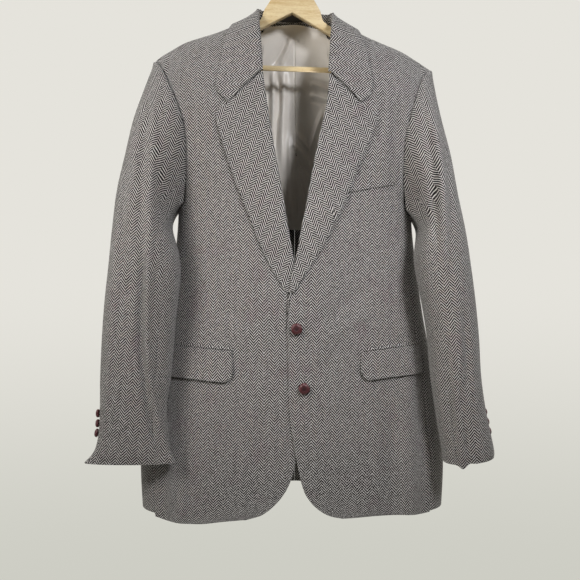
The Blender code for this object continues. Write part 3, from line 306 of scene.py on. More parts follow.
def seam_crossing(gap, like):
    """The x at which rows meet their outer seam, by halving: gap(x) falls to zero there."""
    low, high = np.full_like(like, 0.10), np.full_like(like, 0.28)
    for _ in range(30):
        middle = 0.5 * (low + high)
        inside = gap(middle) > 0.0
        low, high = np.where(inside, middle, low), np.where(inside, high, middle)
    return low


def grid(place, us, vs):
    """Points and normals of place(u, v). The normals look past the side edges, so that
    two pieces of one surface meet without a shading line."""
    step = 0.5 * (us[1] - us[0])
    wide = np.concatenate(([us[0] - step], us, [us[-1] + step]))
    points = place(*np.meshgrid(wide, vs))
    across = points[:, 2:] - points[:, :-2]
    points = points[:, 1:-1]
    normals = np.cross(across, np.gradient(points, axis=0))
    length = np.linalg.norm(normals, axis=-1, keepdims=True)
    return points, normals / np.maximum(length, 1e-12)


def run_length(points, axis, anchor):
    """Distance along the cloth from row or column `anchor` of a grid."""
    step = np.linalg.norm(np.diff(points, axis=axis), axis=-1)
    total = np.cumsum(step, axis=axis)
    start = np.zeros_like(np.take(total, [0], axis=axis))
    total = np.concatenate((start, total), axis=axis)
    return total - np.take(total, [anchor], axis=axis)


def link_mesh(name, mesh):
    obj = bpy.data.objects.new(name, mesh)
    bpy.context.scene.collection.objects.link(obj)
    return obj


def shell(name, points, normals, weave, thickness, finish, outside):
    """Cloth of even thickness with a rounded, turned edge. `points` is its outer face,
    `weave` its own flat coordinates in metres, across and along the grain."""
    rows, cols = points.shape[:2]
    if np.dot(normals[rows // 2, cols // 2], outside) < 0.0:
        points, weave, normals = points[:, ::-1], weave[:, ::-1], -normals[:, ::-1]
    loop = [(0, j) for j in range(cols)] + [(i, cols - 1) for i in range(1, rows)]
    loop += [(rows - 1, j) for j in range(cols - 2, -1, -1)]
    loop += [(i, 0) for i in range(rows - 2, 0, -1)]
    edge = tuple(np.array(loop).T)
    near = (np.clip(edge[0], 1, rows - 2), np.clip(edge[1], 1, cols - 2))
    away = points[edge] - points[near]
    away -= normals[edge] * np.sum(away * normals[edge], axis=1, keepdims=True)
    away /= np.maximum(np.linalg.norm(away, axis=1, keepdims=True), 1e-9)
    off = weave[edge] - weave[near]
    off /= np.maximum(np.linalg.norm(off, axis=1, keepdims=True), 1e-9)
    points = points.copy()
    points[edge] -= away * thickness * 0.38
    places = [points.reshape(-1, 3), (points - normals * thickness).reshape(-1, 3)]
    maps = [weave.reshape(-1, 2), weave.reshape(-1, 2)]
    turns = (45, 90, 135)
    for turn in turns:
        c, s = math.cos(math.radians(turn)), math.sin(math.radians(turn))
        places.append(points[edge] + normals[edge] * (thickness * 0.5 * (c - 1.0))
                      + away * (thickness * 0.38 * s))
        maps.append(weave[edge] + off * thickness * 0.5 * math.radians(turn))
    a = (np.arange(rows - 1)[:, None] * cols + np.arange(cols - 1)).ravel()
    count, ring = rows * cols, len(loop)
    outer = np.stack((a, a + 1, a + cols + 1, a + cols), axis=1)
    faces = [outer, outer[:, ::-1] + count]
    border = edge[0] * cols + edge[1]
    layers = [border] + [2 * count + k * ring + np.arange(ring) for k in range(len(turns))]
    layers.append(border + count)
    for upper, lower in zip(layers, layers[1:]):
        faces.append(np.stack((np.roll(upper, -1), upper, lower, np.roll(lower, -1)), axis=1))
    faces = np.concatenate(faces)
    mesh = bpy.data.meshes.new(name + "_cloth")
    mesh.from_pydata(np.concatenate(places).tolist(), [], faces.tolist())
    flat = np.concatenate(maps)[faces.ravel()]
    mesh.uv_layers.new(name="weave").data.foreach_set("uv", flat.ravel())
    mesh.materials.append(finish)
    mesh.shade_smooth()
    return link_mesh(name + "_cloth", mesh)


def linear(colour):
    """sRGB hex value to linear light."""
    parts = [int(colour[i:i + 2], 16) / 255.0 for i in (1, 3, 5)]
    return [p / 12.92 if p <= 0.04045 else ((p + 0.055) / 1.055) ** 2.4 for p in parts] + [1.0]


def add(tree, kind, *inputs, **settings):
    """Add a node. Inputs are given in order: a socket, or a node's first output, is
    linked, a value is set, None is left. The node is returned."""
    node = tree.nodes.new("ShaderNode" + kind)
    for key, value in settings.items():
        setattr(node, key, value)
    for socket, value in zip(node.inputs, inputs):
        if isinstance(value, bpy.types.Node):
            value = value.outputs[0]
        if isinstance(value, bpy.types.NodeSocket):
            tree.links.new(value, socket)
        elif value is not None:
            socket.default_value = value
    return node


def new_material(name, roughness, **constants):
    mat = bpy.data.materials.new(name)
    mat.use_nodes = True
    shader = mat.node_tree.nodes["Principled BSDF"]
    shader.inputs["Roughness"].default_value = roughness
    for key, value in constants.items():
        shader.inputs[key.replace("_", " ")].default_value = value
    return mat, mat.node_tree, shader


COLUMN = 0.0084         # width of one herringbone column
TWILL = 0.00475         # upright spacing of the twill lines
YARN = 0.0011           # width of one yarn
DARK_YARN = ("#080607", "#1a1516")
PALE_YARN = ("#beb9b5", "#e6e3e0")
HEATHER = "#b7a0a8"     # flecks of dusty pink wool


def make_tweed():
    """Herringbone wool tweed: near-black warp and cream weft in a 2/2 twill that
    reverses at each column, with a matt, hairy surface."""
    mat, tree, shader = new_material("herringbone_wool_tweed", 0.92, Specular_IOR_Level=0.25,
                                     Sheen_Weight=0.10, Sheen_Roughness=0.55)

    weave = add(tree, "UVMap", uv_map="weave")
    wander = add(tree, "TexNoise", weave, None, 60.0, 2.0, 0.5)
    split = add(tree, "SeparateXYZ", weave)
    across = add(tree, "Math", split.outputs[0], COLUMN, operation="DIVIDE")
    down = add(tree, "Math", split.outputs[1], TWILL, operation="DIVIDE")
    zigzag = add(tree, "Math", across, 1.0, operation="PINGPONG")
    column = add(tree, "Math", across, 4000.0, operation="ADD")
    column = add(tree, "Math", column, operation="FLOOR")
    parity = add(tree, "Math", column, 2.0, operation="MODULO")
    phase = add(tree, "Math", zigzag, COLUMN / TWILL * 1.13, down, operation="MULTIPLY_ADD")
    phase = add(tree, "Math", parity, 0.35, phase, operation="MULTIPLY_ADD")
    phase = add(tree, "Math", wander, 0.35, phase, operation="MULTIPLY_ADD")
    phase = add(tree, "Math", phase, 2.0 * math.pi, operation="MULTIPLY")
    wave = add(tree, "Math", phase, operation="COSINE")
    hair = add(tree, "TexNoise", weave, None, 1.0 / YARN, 3.0, 0.65)
    fuzz = add(tree, "Math", hair, 0.5, operation="SUBTRACT")
    line = add(tree, "Math", fuzz, 0.55, wave, operation="MULTIPLY_ADD")
    # Slubs: lengths of weft spun thick or thin, which the twill shows as bright and dull dots.
    slub = add(tree, "TexNoise", weave, None, 150.0, 2.0, 0.6)
    slub = add(tree, "Math", slub, 0.5, operation="SUBTRACT")
    line = add(tree, "Math", slub, 0.75, line, operation="MULTIPLY_ADD")
    pale = add(tree, "MapRange", line, 0.34, 0.70, 0.0, 1.0, interpolation_type="SMOOTHSTEP")
    fleck = add(tree, "TexNoise", weave, None, 420.0, 2.0, 0.6)
    batch = add(tree, "TexNoise", weave, None, 22.0, 3.0, 0.6)
    spread = add(tree, "MapRange", fleck, 0.35, 0.65, 0.0, 1.0)
    skip = [None] * 5           # a Mix node's sockets for plain numbers and vectors
    dark = add(tree, "Mix", spread, *skip, linear(DARK_YARN[0]), linear(DARK_YARN[1]),
               data_type="RGBA").outputs[2]
    cream = add(tree, "Mix", spread, *skip, linear(PALE_YARN[0]), linear(PALE_YARN[1]),
                data_type="RGBA").outputs[2]
    pink = add(tree, "MapRange", batch, 0.55, 0.75, 0.0, 0.45)
    cream = add(tree, "Mix", pink, *skip, cream, linear(HEATHER), data_type="RGBA").outputs[2]
    colour = add(tree, "Mix", pale, *skip, dark, cream, data_type="RGBA").outputs[2]
    tree.links.new(colour, shader.inputs["Base Color"])
    relief = add(tree, "Math", hair, 0.6, pale, operation="MULTIPLY_ADD")
    bump = add(tree, "Bump", 0.35, 0.0005, None, relief)
    tree.links.new(bump.outputs[0], shader.inputs["Normal"])
    return mat


tweed = make_tweed()


def settle(piece, node):
    """Hide the solid a piece stands for, and hang the piece on the root body."""
    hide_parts(node)
    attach(piece, "root")
    return piece


def finish_sheet(piece, node, slot, flat, area, rests_on=(), with_pieces=()):
    """The same for a cloth piece. The cut it was made from is not used."""
    settle(piece, node)
    return piece


def shoulder_rows(roll, length, last):
    """Shares of the length at which rows are made: close together over the shoulder and
    at the rounded hem."""
    top = roll * (1.0 - np.cos(np.radians(np.linspace(0.3, 84.0, 36)))) / length
    middle = np.linspace(top[-1], last, 130)[1:]
    return np.concatenate((top, middle, np.linspace(last, 1.0, 34)[1:]))


def grain_x(surface, side, x, level=-0.55):
    """Distance round the body from the centre line, so that the columns stay upright."""
    xs = np.linspace(-0.03, 0.28, 200)
    ys = surface(side, xs, np.full_like(xs, level))
    total = np.concatenate(([0.0], np.cumsum(np.hypot(np.diff(xs), np.diff(ys)))))
    return side * (np.interp(x, xs, total) - np.interp(0.0, xs, total))


for side, label in SIDES:
    def place(u, v):
        inner = np.full_like(v, 0.05)
        for _ in range(12):
            inner = read(FRONT_EDGE[side], "z", "x", front_row_z(side, inner, v))
        outer = seam_crossing(
            lambda x: seam_x(side, front_row_z(side, x, v), "front_x", FRONT_SEAM_SHARE) - x, v)
        past_roll = (front_row_z(side, inner, v) - LAPEL_BOTTOM[side] + 0.05) / 0.03
        inner = inner + SEAM + FOLD_RADIUS * smooth(past_roll)
        x = inner + (outer - SEAM - inner) * u
        z = front_row_z(side, x, v)
        return point(side, x, front_y(side, x, z), z)

    points, normals = grid(place, np.linspace(0.0, 1.0, 72), shoulder_rows(FRONT_ROLL, 0.80, 0.965))
    level = int(np.argmin(np.abs(points[:, 36, 2] + 0.45)))
    down = run_length(points, 0, level) - points[level, :, 2]
    across = grain_x(front_y, side, side * points[..., 0])
    front = shell("front_" + label, points, normals, np.stack((across, down), axis=-1),
                  CLOTH, tweed, (0, -1, 0))
    finish_sheet(front, "front_" + label, "tweed", *FRONT_CUT[side])

# ============================================================================ side panels
# An underarm panel joins each front to the back, from the bottom of the armhole to the hem.
# It has no side seam of its own and carries the waist shaping in its two long seams.
BACK_SEAM_SHARE = 0.84                  # of the half width, at the hem
SIDE_PANEL_CUT = {LEFT: ((0.098, 0.498), 0.0414), RIGHT: ((0.100, 0.517), 0.0434)}


def seam_turn():
    return math.degrees(math.acos(1.0 - 2.0 * ARMHOLE_SIDE_DROP / ARMHOLE_DEPTH))


def ring_point(side, angle, z):
    """Side of the body: angle 0 at the side, 90 at the centre front, -90 at the back."""
    square = read(BODY, "z", "square", z)
    c = np.maximum(np.cos(np.radians(angle)), 0.0) ** (2.0 / square)
    x = half_width(side, z) * c
    return point(side, x, np.where(angle >= 0.0, front_y(side, x, z), back_y(side, x, z)), z)


def ring_angle(side, x, z):
    share = np.minimum(x / half_width(side, z), 1.0)
    return np.degrees(np.arccos(share ** (read(BODY, "z", "square", z) / 2.0)))


def armhole_point(side, turn):
    """Point of the armhole: turn 0 at the shoulder, 90 in front, 180 at the bottom."""
    turn = (turn + 180.0) % 360.0 - 180.0
    z = SHOULDER[side]["z"][-1] - ARMHOLE_DEPTH * 0.5 * (1.0 - np.cos(np.radians(turn)))
    front_x, back_x = armhole_x(side, z, "front_x"), armhole_x(side, z, "back_x")
    face = np.where((turn >= 0.0)[..., None], point(side, front_x, front_y(side, front_x, z), z),
                    point(side, back_x, back_y(side, back_x, z), z))
    level = np.array(SHOULDER[side]["z"][-1] - ARMHOLE_SIDE_DROP)
    first = np.where(turn >= 0.0,
                     ring_angle(side, armhole_x(side, level, "front_x"), level),
                     ring_angle(side, armhole_x(side, level, "back_x"), level))
    share = (180.0 - np.abs(turn)) / (180.0 - seam_turn())
    under = ring_point(side, np.copysign(first * share, turn), z)
    return np.where((np.abs(turn) <= seam_turn())[..., None], face, under)


for side, label in SIDES:
    def place(u, v):
        start = seam_turn()
        hem_x = half_width(side, np.array(-0.93))
        front_hem = read(FRONT_HEM[side], "x", "z", hem_x)
        back_hem = read(BACK_HEM, "x", "z", hem_x)
        top = armhole_point(side, start + (360.0 - 2.0 * start) * np.clip(u, 0.0, 1.0))[..., 2]
        z = top + (front_hem + (back_hem - front_hem) * u - top) * v
        x = np.where(u < 0.5, seam_x(side, z, "front_x", FRONT_SEAM_SHARE),
                     seam_x(side, z, "back_x", BACK_SEAM_SHARE))
        return ring_point(side, ring_angle(side, x, z) * (1.0 - 2.0 * u), z)

    points, normals = grid(place, np.linspace(0.001, 0.999, 34), np.linspace(0.0, 1.0, 120))
    weave = np.stack((run_length(points, 1, 0), run_length(points, 0, 40)), axis=-1)
    panel = shell("side_panel_" + label, points, normals, weave, CLOTH, tweed, (side, 0, 0))
    finish_sheet(panel, "side_panel_" + label, "tweed", *SIDE_PANEL_CUT[side])

# ============================================================================ backs
# Two backs meet in a centre seam that runs straight to the hem, with no vent. Each is one
# piece of tweed from the shoulder and neck seams down.
BACK_CUT = {LEFT: ((0.266, 0.807), 0.1543), RIGHT: ((0.270, 0.813), 0.1573)}

for side, label in SIDES:
    def place(u, v):
        def row_z(x):
            top = shoulder_z(side, x)
            return top + (read(BACK_HEM, "x", "z", x) - top) * v

        outer = seam_crossing(
            lambda x: seam_x(side, row_z(x), "back_x", BACK_SEAM_SHARE) - x, v)
        x = SEAM + (outer - 2.0 * SEAM) * u
        z = row_z(x)
        return point(side, x, back_y(side, x, z), z)

    us = np.linspace(0.0, 1.0, 60)
    points, normals = grid(place, us, shoulder_rows(BACK_ROLL, 0.78, 0.985))
    level = int(np.argmin(np.abs(points[:, 30, 2] + 0.45)))
    down = run_length(points, 0, level) - points[level, :, 2]
    across = grain_x(back_y, side, side * points[..., 0])
    back = shell("back_" + label, points, normals, np.stack((across, down), axis=-1),
                 CLOTH, tweed, (0, 1, 0))
    finish_sheet(back, "back_" + label, "tweed", *BACK_CUT[side])

# ============================================================================ sleeves
# Two-piece sleeves set into the armholes with a lightly padded head. The top sleeve runs over
# the elbow, the under sleeve lies against the body. They hang bent forward as the arm would,
# with the grain along them; the wearer's right one folds flat below the elbow.
SLEEVE = {
    RIGHT: {
        "outer_x": (0.2341, 0.2378, 0.2495, 0.2635, 0.2741, 0.2859, 0.2924, 0.2976, 0.3042,
                    0.3090, 0.3117, 0.3121, 0.3136, 0.3205, 0.3370),
        "outer_z": (-0.1986, -0.2100, -0.2480, -0.2980, -0.3560, -0.4180, -0.4800, -0.5400,
                    -0.6000, -0.6600, -0.7180, -0.7640, -0.8050, -0.8360, -0.8560),
        "inner_x": (0.1970, 0.2025, 0.2050, 0.2040, 0.2000, 0.1935, 0.1865, 0.1835, 0.1885,
                    0.1940, 0.1990, 0.2052, 0.2030, 0.1990, 0.1910),
        "inner_z": (-0.4500, -0.4590, -0.4680, -0.4780, -0.4890, -0.5030, -0.5240, -0.5580,
                    -0.6060, -0.6620, -0.7180, -0.7640, -0.8070, -0.8350, -0.8560),
        "front_y": (-0.040, -0.056, -0.072, -0.086, -0.096, -0.102, -0.104, -0.104, -0.102,
                    -0.098, -0.094, -0.090, -0.087, -0.084, -0.080),
        "back_y": (0.046, 0.054, 0.052, 0.042, 0.028, 0.010, -0.003, -0.012, -0.014, -0.014,
                    -0.018, -0.024, -0.030, -0.036, -0.040),
    },
    LEFT: {
        "outer_x": (0.2267, 0.2300, 0.2344, 0.2414, 0.2508, 0.2598, 0.2713, 0.2799, 0.2874,
                    0.2928, 0.2966, 0.3038, 0.3123, 0.3185, 0.3185),
        "outer_z": (-0.2121, -0.2260, -0.2640, -0.3120, -0.3640, -0.4240, -0.4850, -0.5430,
                    -0.6000, -0.6560, -0.7160, -0.7660, -0.8060, -0.8350, -0.8460),
        "inner_x": (0.1970, 0.2025, 0.2045, 0.2030, 0.1990, 0.1945, 0.1915, 0.1955, 0.2040,
                    0.2125, 0.2178, 0.2248, 0.2315, 0.2370, 0.2392),
        "inner_z": (-0.4635, -0.4720, -0.4800, -0.4890, -0.5000, -0.5140, -0.5330, -0.5620,
                    -0.6040, -0.6580, -0.7160, -0.7660, -0.8060, -0.8350, -0.8560),
        "front_y": (-0.040, -0.058, -0.076, -0.092, -0.103, -0.108, -0.110, -0.109, -0.108,
                    -0.106, -0.103, -0.100, -0.098, -0.096, -0.094),
        "back_y": (0.046, 0.054, 0.052, 0.042, 0.026, 0.009, -0.005, -0.011, -0.009, -0.010,
                    -0.010, -0.010, -0.010, -0.010, -0.010),
    },
}
ARMHOLE_FADE_RINGS = 4.0
UNDERARM_AIR = 0.0040
FRONT_SEAM_TURN = 128.0                 # degrees from the outer edge, by way of the front
BACK_SEAM_TURN = (-66.0, -14.0)         # same, at the armhole and at the cuff
HEAD_ROLL = 0.0020                      # the sleeve head stands this proud of the armhole
CUFF_POINT_X = 0.262                    # where the left cuff's hem sags, how far and how wide
CUFF_POINT, CUFF_POINT_WIDTH = 0.006, 0.006
ALLOWANCE = 0.0055                      # sleeve cloth under the body's edge, and its depth
ALLOWANCE_DEPTH = 0.0023
SLEEVE_LEAN, UPPER_LEAN = 6.0, 8.0      # degrees below the elbow, and what is added above
ELBOW_Z, ELBOW_FADE = -0.36, 0.20
TOP_GRAIN_TURN, UNDER_GRAIN_TURN = 75.0, 140.0      # where the columns run true
TOP_SLEEVE_CUT = {LEFT: ((0.339, 0.658), 0.0928), RIGHT: ((0.345, 0.685), 0.1058)}
UNDER_SLEEVE_CUT = {LEFT: ((0.274, 0.592), 0.0756), RIGHT: ((0.277, 0.627), 0.0864)}

SLEEVE_CREASES = {                      # seen from the front: height, half width, line
    RIGHT: (
        (-0.0070, 0.0055, ((0.2354, -0.480), (0.2377, -0.5955), (0.2395, -0.6651),
                           (0.2369, -0.6945), (0.2324, -0.7300), (0.2298, -0.7572),
                           (0.2245, -0.7928), (0.2174, -0.8159), (0.2084, -0.8372),
                           (0.1980, -0.8700))),
        (0.0064, 0.0060, ((0.2270, -0.500), (0.2290, -0.5955), (0.2307, -0.6651),
                          (0.2276, -0.7192), (0.2238, -0.7579), (0.2170, -0.7934),
                          (0.2090, -0.8166), (0.2000, -0.8383), (0.190, -0.870))),
        (0.0036, 0.0070, ((0.2230, -0.250), (0.2245, -0.3635), (0.2261, -0.4408),
                          (0.2245, -0.5181), (0.2261, -0.6200))),
        (-0.0042, 0.0080, ((0.2350, -0.270), (0.2385, -0.3635), (0.2400, -0.4408),
                           (0.2360, -0.5181))),
        (-0.0036, 0.0050, ((0.1980, -0.235), (0.1935, -0.2749))),
        (-0.0022, 0.0045, ((0.2120, -0.250), (0.2086, -0.2850))),
        (-0.0031, 0.0100, ((0.2600, -0.350), (0.2700, -0.4600), (0.2720, -0.560))),
        (0.0028, 0.0100, ((0.2750, -0.480), (0.2850, -0.6000), (0.2900, -0.720))),
        (-0.0025, 0.0080, ((0.2480, -0.560), (0.2640, -0.5900), (0.2850, -0.600))),
    ),
    LEFT: (
        (0.0042, 0.0050, ((0.2170, -0.270), (0.2249, -0.3597), (0.2280, -0.4227),
                          (0.2296, -0.5013), (0.2320, -0.600))),
        (-0.0048, 0.0060, ((0.2060, -0.300), (0.2120, -0.3800), (0.2150, -0.4600),
                           (0.2170, -0.540))),
        (-0.0034, 0.0060, ((0.2360, -0.330), (0.2410, -0.4227), (0.2440, -0.5200))),
        (0.0028, 0.0080, ((0.2470, -0.560), (0.2520, -0.6400), (0.2540, -0.740))),
        (-0.0036, 0.0070, ((0.2580, -0.600), (0.2660, -0.6800), (0.2680, -0.760))),
        (-0.0031, 0.0070, ((0.2330, -0.660), (0.2380, -0.7400), (0.2440, -0.820))),
        (0.0039, 0.0060, ((0.2460, -0.700), (0.2541, -0.7828), (0.2640, -0.870))),
        (-0.0036, 0.0050, ((0.2640, -0.790), (0.2700, -0.8300), (0.2760, -0.870))),
        (-0.0020, 0.0030, ((0.1980, -0.236), (0.1989, -0.2850))),
        (-0.0022, 0.0032, ((0.2060, -0.238), (0.2073, -0.2900))),
        (-0.0017, 0.0030, ((0.2150, -0.242), (0.2158, -0.2850))),
    ),
}
ELBOW_CREASES = {                       # the same, on the back of the sleeve
    RIGHT: (
        (-0.0036, 0.0080, ((0.215, -0.560), (0.245, -0.585), (0.280, -0.590))),
        (-0.0031, 0.0075, ((0.220, -0.610), (0.250, -0.625), (0.290, -0.640))),
        (0.0031, 0.0090, ((0.230, -0.360), (0.245, -0.440), (0.250, -0.530))),
    ),
    LEFT: (
        (-0.0036, 0.0080, ((0.215, -0.545), (0.240, -0.570), (0.270, -0.580))),
        (-0.0031, 0.0075, ((0.225, -0.600), (0.250, -0.612), (0.280, -0.630))),
        (0.0031, 0.0090, ((0.222, -0.380), (0.232, -0.450), (0.240, -0.530))),
    ),
}


def sleeve_ring(side, turn, ring):
    """Point of a sleeve: turn 0 at its outer edge, 90 in front, 180 at its inner edge."""
    value = {name: along(column, ring) for name, column in SLEEVE[side].items()}
    c, s = np.cos(np.radians(turn)), np.sin(np.radians(turn))
    c = np.copysign(np.abs(c) ** 0.92, c)
    s = np.copysign(np.abs(s) ** 0.92, s)
    x = 0.5 * (value["outer_x"] * (1 + c) + value["inner_x"] * (1 - c))
    z = 0.5 * (value["outer_z"] * (1 + c) + value["inner_z"] * (1 - c))
    y = 0.5 * (value["front_y"] * (1 + s) + value["back_y"] * (1 - s))
    return point(side, x, y, z)


def sleeve_point(side, turn, ring):
    fade = (1.0 - smooth(ring / ARMHOLE_FADE_RINGS))[..., None]
    points = sleeve_ring(side, turn, ring)
    points = points + (armhole_point(side, turn) - sleeve_ring(side, turn, ring * 0.0)) * fade
    bottom = (0.5 - 0.5 * np.cos(np.radians(turn))) ** 2
    air = UNDERARM_AIR * (0.35 + 0.65 * smooth(ring / 0.5))
    points[..., 0] += side * bottom * fade[..., 0] * air
    return points


def sleeve_lean(z):
    """How far a sleeve's axis leans outwards at a height."""
    return np.radians(SLEEVE_LEAN + UPPER_LEAN * (1.0 - smooth((ELBOW_Z - z) / ELBOW_FADE)))


def sleeve_weave(side, points, anchor):
    """Flat coordinates of a sleeve: round it square to its axis from column `anchor`, and
    along the axis, which leans outwards less below the elbow. Column `anchor` keeps its
    own distance from the axis, so the columns run true wherever the cloth faces it."""
    x, z = side * points[..., 0], points[..., 2]
    lean = sleeve_lean(z)
    axis = point(side, np.sin(lean), 0.0 * x, -np.cos(lean))
    step = points[:, 1:] - points[:, :-1]
    step = step - axis[:, 1:] * np.sum(step * axis[:, 1:], axis=-1, keepdims=True)
    round_it = np.cumsum(np.linalg.norm(step, axis=-1), axis=1)
    round_it = np.concatenate((np.zeros_like(round_it[:, :1]), round_it), axis=1)
    heights = np.linspace(0.0, -1.0, 1001)
    leans = sleeve_lean(heights)
    fall = np.concatenate(([0.0], np.cumsum(0.001 * np.cos(leans[1:]))))
    drift = np.concatenate(([0.0], np.cumsum(0.001 * np.tan(leans[1:]))))
    down = np.interp(-z, -heights, fall) + (x - 0.25) * np.sin(lean)
    aside = (x - np.interp(-z, -heights, drift)) * np.cos(lean)
    last = points.shape[1] - 1
    trend = aside[60:, min(anchor + 4, last)] - aside[60:, max(anchor - 4, 0)]
    across = aside[:, [anchor]] + np.sign(np.mean(trend)) * (round_it - round_it[:, [anchor]])
    return np.stack((across, down), axis=-1)


WHOLE, EARLY, LATE = slice(None), slice(0, -1), slice(1, None)
NEIGHBOURS = (((WHOLE, EARLY), (WHOLE, LATE)), ((EARLY, WHOLE), (LATE, WHOLE)),
              ((EARLY, EARLY), (LATE, LATE)), ((EARLY, LATE), (LATE, EARLY)))


def ease_weave(weave, points, free, rounds=400):
    """Let the weave behind the sleeve settle to the cloth's own lengths, which the
    scalloped armhole would otherwise stretch."""
    for _ in range(rounds):
        move = np.zeros_like(weave)
        for a, b in NEIGHBOURS:
            length = np.linalg.norm(points[b] - points[a], axis=-1)
            apart = weave[b] - weave[a]
            drawn = np.maximum(np.linalg.norm(apart, axis=-1), 1e-6)
            pull = apart * ((drawn - length) / drawn)[..., None] * 0.5
            move[a] += pull
            move[b] -= pull
        weave = weave + 0.25 * move * free[..., None]
    return weave


def unit(v):
    return v / np.maximum(np.linalg.norm(v, axis=-1, keepdims=True), 1e-12)


def grid_normals(points):
    return unit(np.cross(np.gradient(points, axis=1), np.gradient(points, axis=0)))


def sleeve_half(side, name, top_half, count):
    rings = len(SLEEVE[side]["outer_x"]) - 1.0

    def turns(u, ring):
        share = smooth(ring / rings * 1.1)
        start = BACK_SEAM_TURN[0] + (BACK_SEAM_TURN[1] - BACK_SEAM_TURN[0]) * share
        end = np.full_like(start, FRONT_SEAM_TURN)
        if not top_half:
            start, end = end, start + 360.0
        return start + 0.1 + (end - start - 0.2) * u

    def place(u, ring):
        """The sleeve, and above it the allowance that lies under the body's edge."""
        worn = np.maximum(ring, 0.0)
        turn = turns(u, worn)
        tuck = np.clip(-ring, 0.0, 1.0)
        under = smooth(tuck * 4.0) * ALLOWANCE_DEPTH
        drop = np.stack((-side * tuck * ALLOWANCE, np.sin(np.radians(turn)) * under,
                         -np.cos(np.radians(turn)) * under), axis=-1)
        return sleeve_point(side, turn, worn) + drop

    rows = np.concatenate((np.linspace(0.0, 1.0, 14)[:-1], np.linspace(1.0, rings, 150)))
    if top_half:
        rows = np.concatenate((np.linspace(-1.0, 0.0, 9)[:-1], rows))
    us = np.linspace(0.0, 1.0, count)
    points, normals = grid(place, us, rows)
    outside = np.array((side, -0.4, 0.0) if top_half else (-side, 0.4, 0.0))
    if np.dot(normals[90, count // 2], outside) < 0.0:
        points, normals, us = points[:, ::-1], -normals[:, ::-1], us[::-1]
    ring = np.maximum(np.meshgrid(us, rows)[1], 0.0)
    turn = turns(np.meshgrid(us, rows)[0], ring)
    x, z = side * points[..., 0], points[..., 2]
    facing = smooth(-normals[..., 1] * 1.6)
    behind = smooth(normals[..., 1] * 1.6)
    height = crease_height(SLEEVE_CREASES[side], x, z) * facing
    height = height + crease_height(ELBOW_CREASES[side], x, z) * behind
    height = height * smooth(ring / 1.2)
    over = smooth(np.cos(np.radians(turn)) * 1.2 + 0.5)
    roll = np.exp(-((ring - 0.45) / 0.40) ** 2) * smooth(np.meshgrid(us, rows)[1] / 0.12)
    height = height + HEAD_ROLL * over * roll
    points = points + normals * height[..., None]
    if side == LEFT:
        # The turned hem sags to a point where the cuff's front fold runs out.
        sag = np.exp(-((x - CUFF_POINT_X) / CUFF_POINT_WIDTH) ** 2) * smooth((ring - 13.3) / 0.7)
        points[..., 2] -= CUFF_POINT * sag * facing
    normals = grid_normals(points)
    true_turn = TOP_GRAIN_TURN if top_half else UNDER_GRAIN_TURN
    weave = sleeve_weave(side, points, int(np.argmin(np.abs(turn[90] - true_turn))))
    weave = ease_weave(weave, points, smooth(normals[..., 1] * 4.0))
    return shell(name, points, normals, weave, CLOTH, tweed, outside)


for side, label in SIDES:
    top = sleeve_half(side, "top_sleeve_" + label, True, 74)
    finish_sheet(top, "top_sleeve_" + label, "tweed", *TOP_SLEEVE_CUT[side])
    under = sleeve_half(side, "under_sleeve_" + label, False, 40)
    finish_sheet(under, "under_sleeve_" + label, "tweed", *UNDER_SLEEVE_CUT[side])

# ============================================================================ lapels
# Each lapel is the front's own facing turned over the chest: the cloth rolls round a
# soft fold, not a pressed one, and its free edge springs off the front. Its columns
# follow the outer edge, because the facing is cut with the grain along it.
LAPEL_EDGE = {
    LEFT: {"x": (0.1347, 0.1248, 0.1078, 0.0928, 0.0760, 0.0600, 0.0400, 0.0170, -0.0040),
           "z": (-0.3040, -0.3266, -0.3656, -0.4050, -0.4466, -0.4790, -0.5180, -0.5540,
                 -0.5880)},
    RIGHT: {"x": (0.1262, 0.1250, 0.1131, 0.0938, 0.0720, 0.0528, 0.0360, 0.0190, 0.0060),
            "z": (-0.2925, -0.3088, -0.3528, -0.4080, -0.4632, -0.5128, -0.5480, -0.5760,
                  -0.5930)},
}
LAPEL_TOP = {LEFT: -0.2322, RIGHT: -0.2298}
NOTCH = {LEFT: (0.1062, -0.2822), RIGHT: (0.1074, -0.2806)}
NOTCH_SHARE = 0.66
LAPEL_SPRING = 0.0030           # air under the free edge
LAPEL_GRAIN = 24.0              # degrees its columns lean from upright
LAPEL_CUT = {LEFT: ((0.122, 0.393), 0.0226), RIGHT: ((0.114, 0.400), 0.0261)}
FACING = 0.012                  # how far the facing is shown inside the front
ROLL = 0.0032                   # radius of the turned cloth's outer face

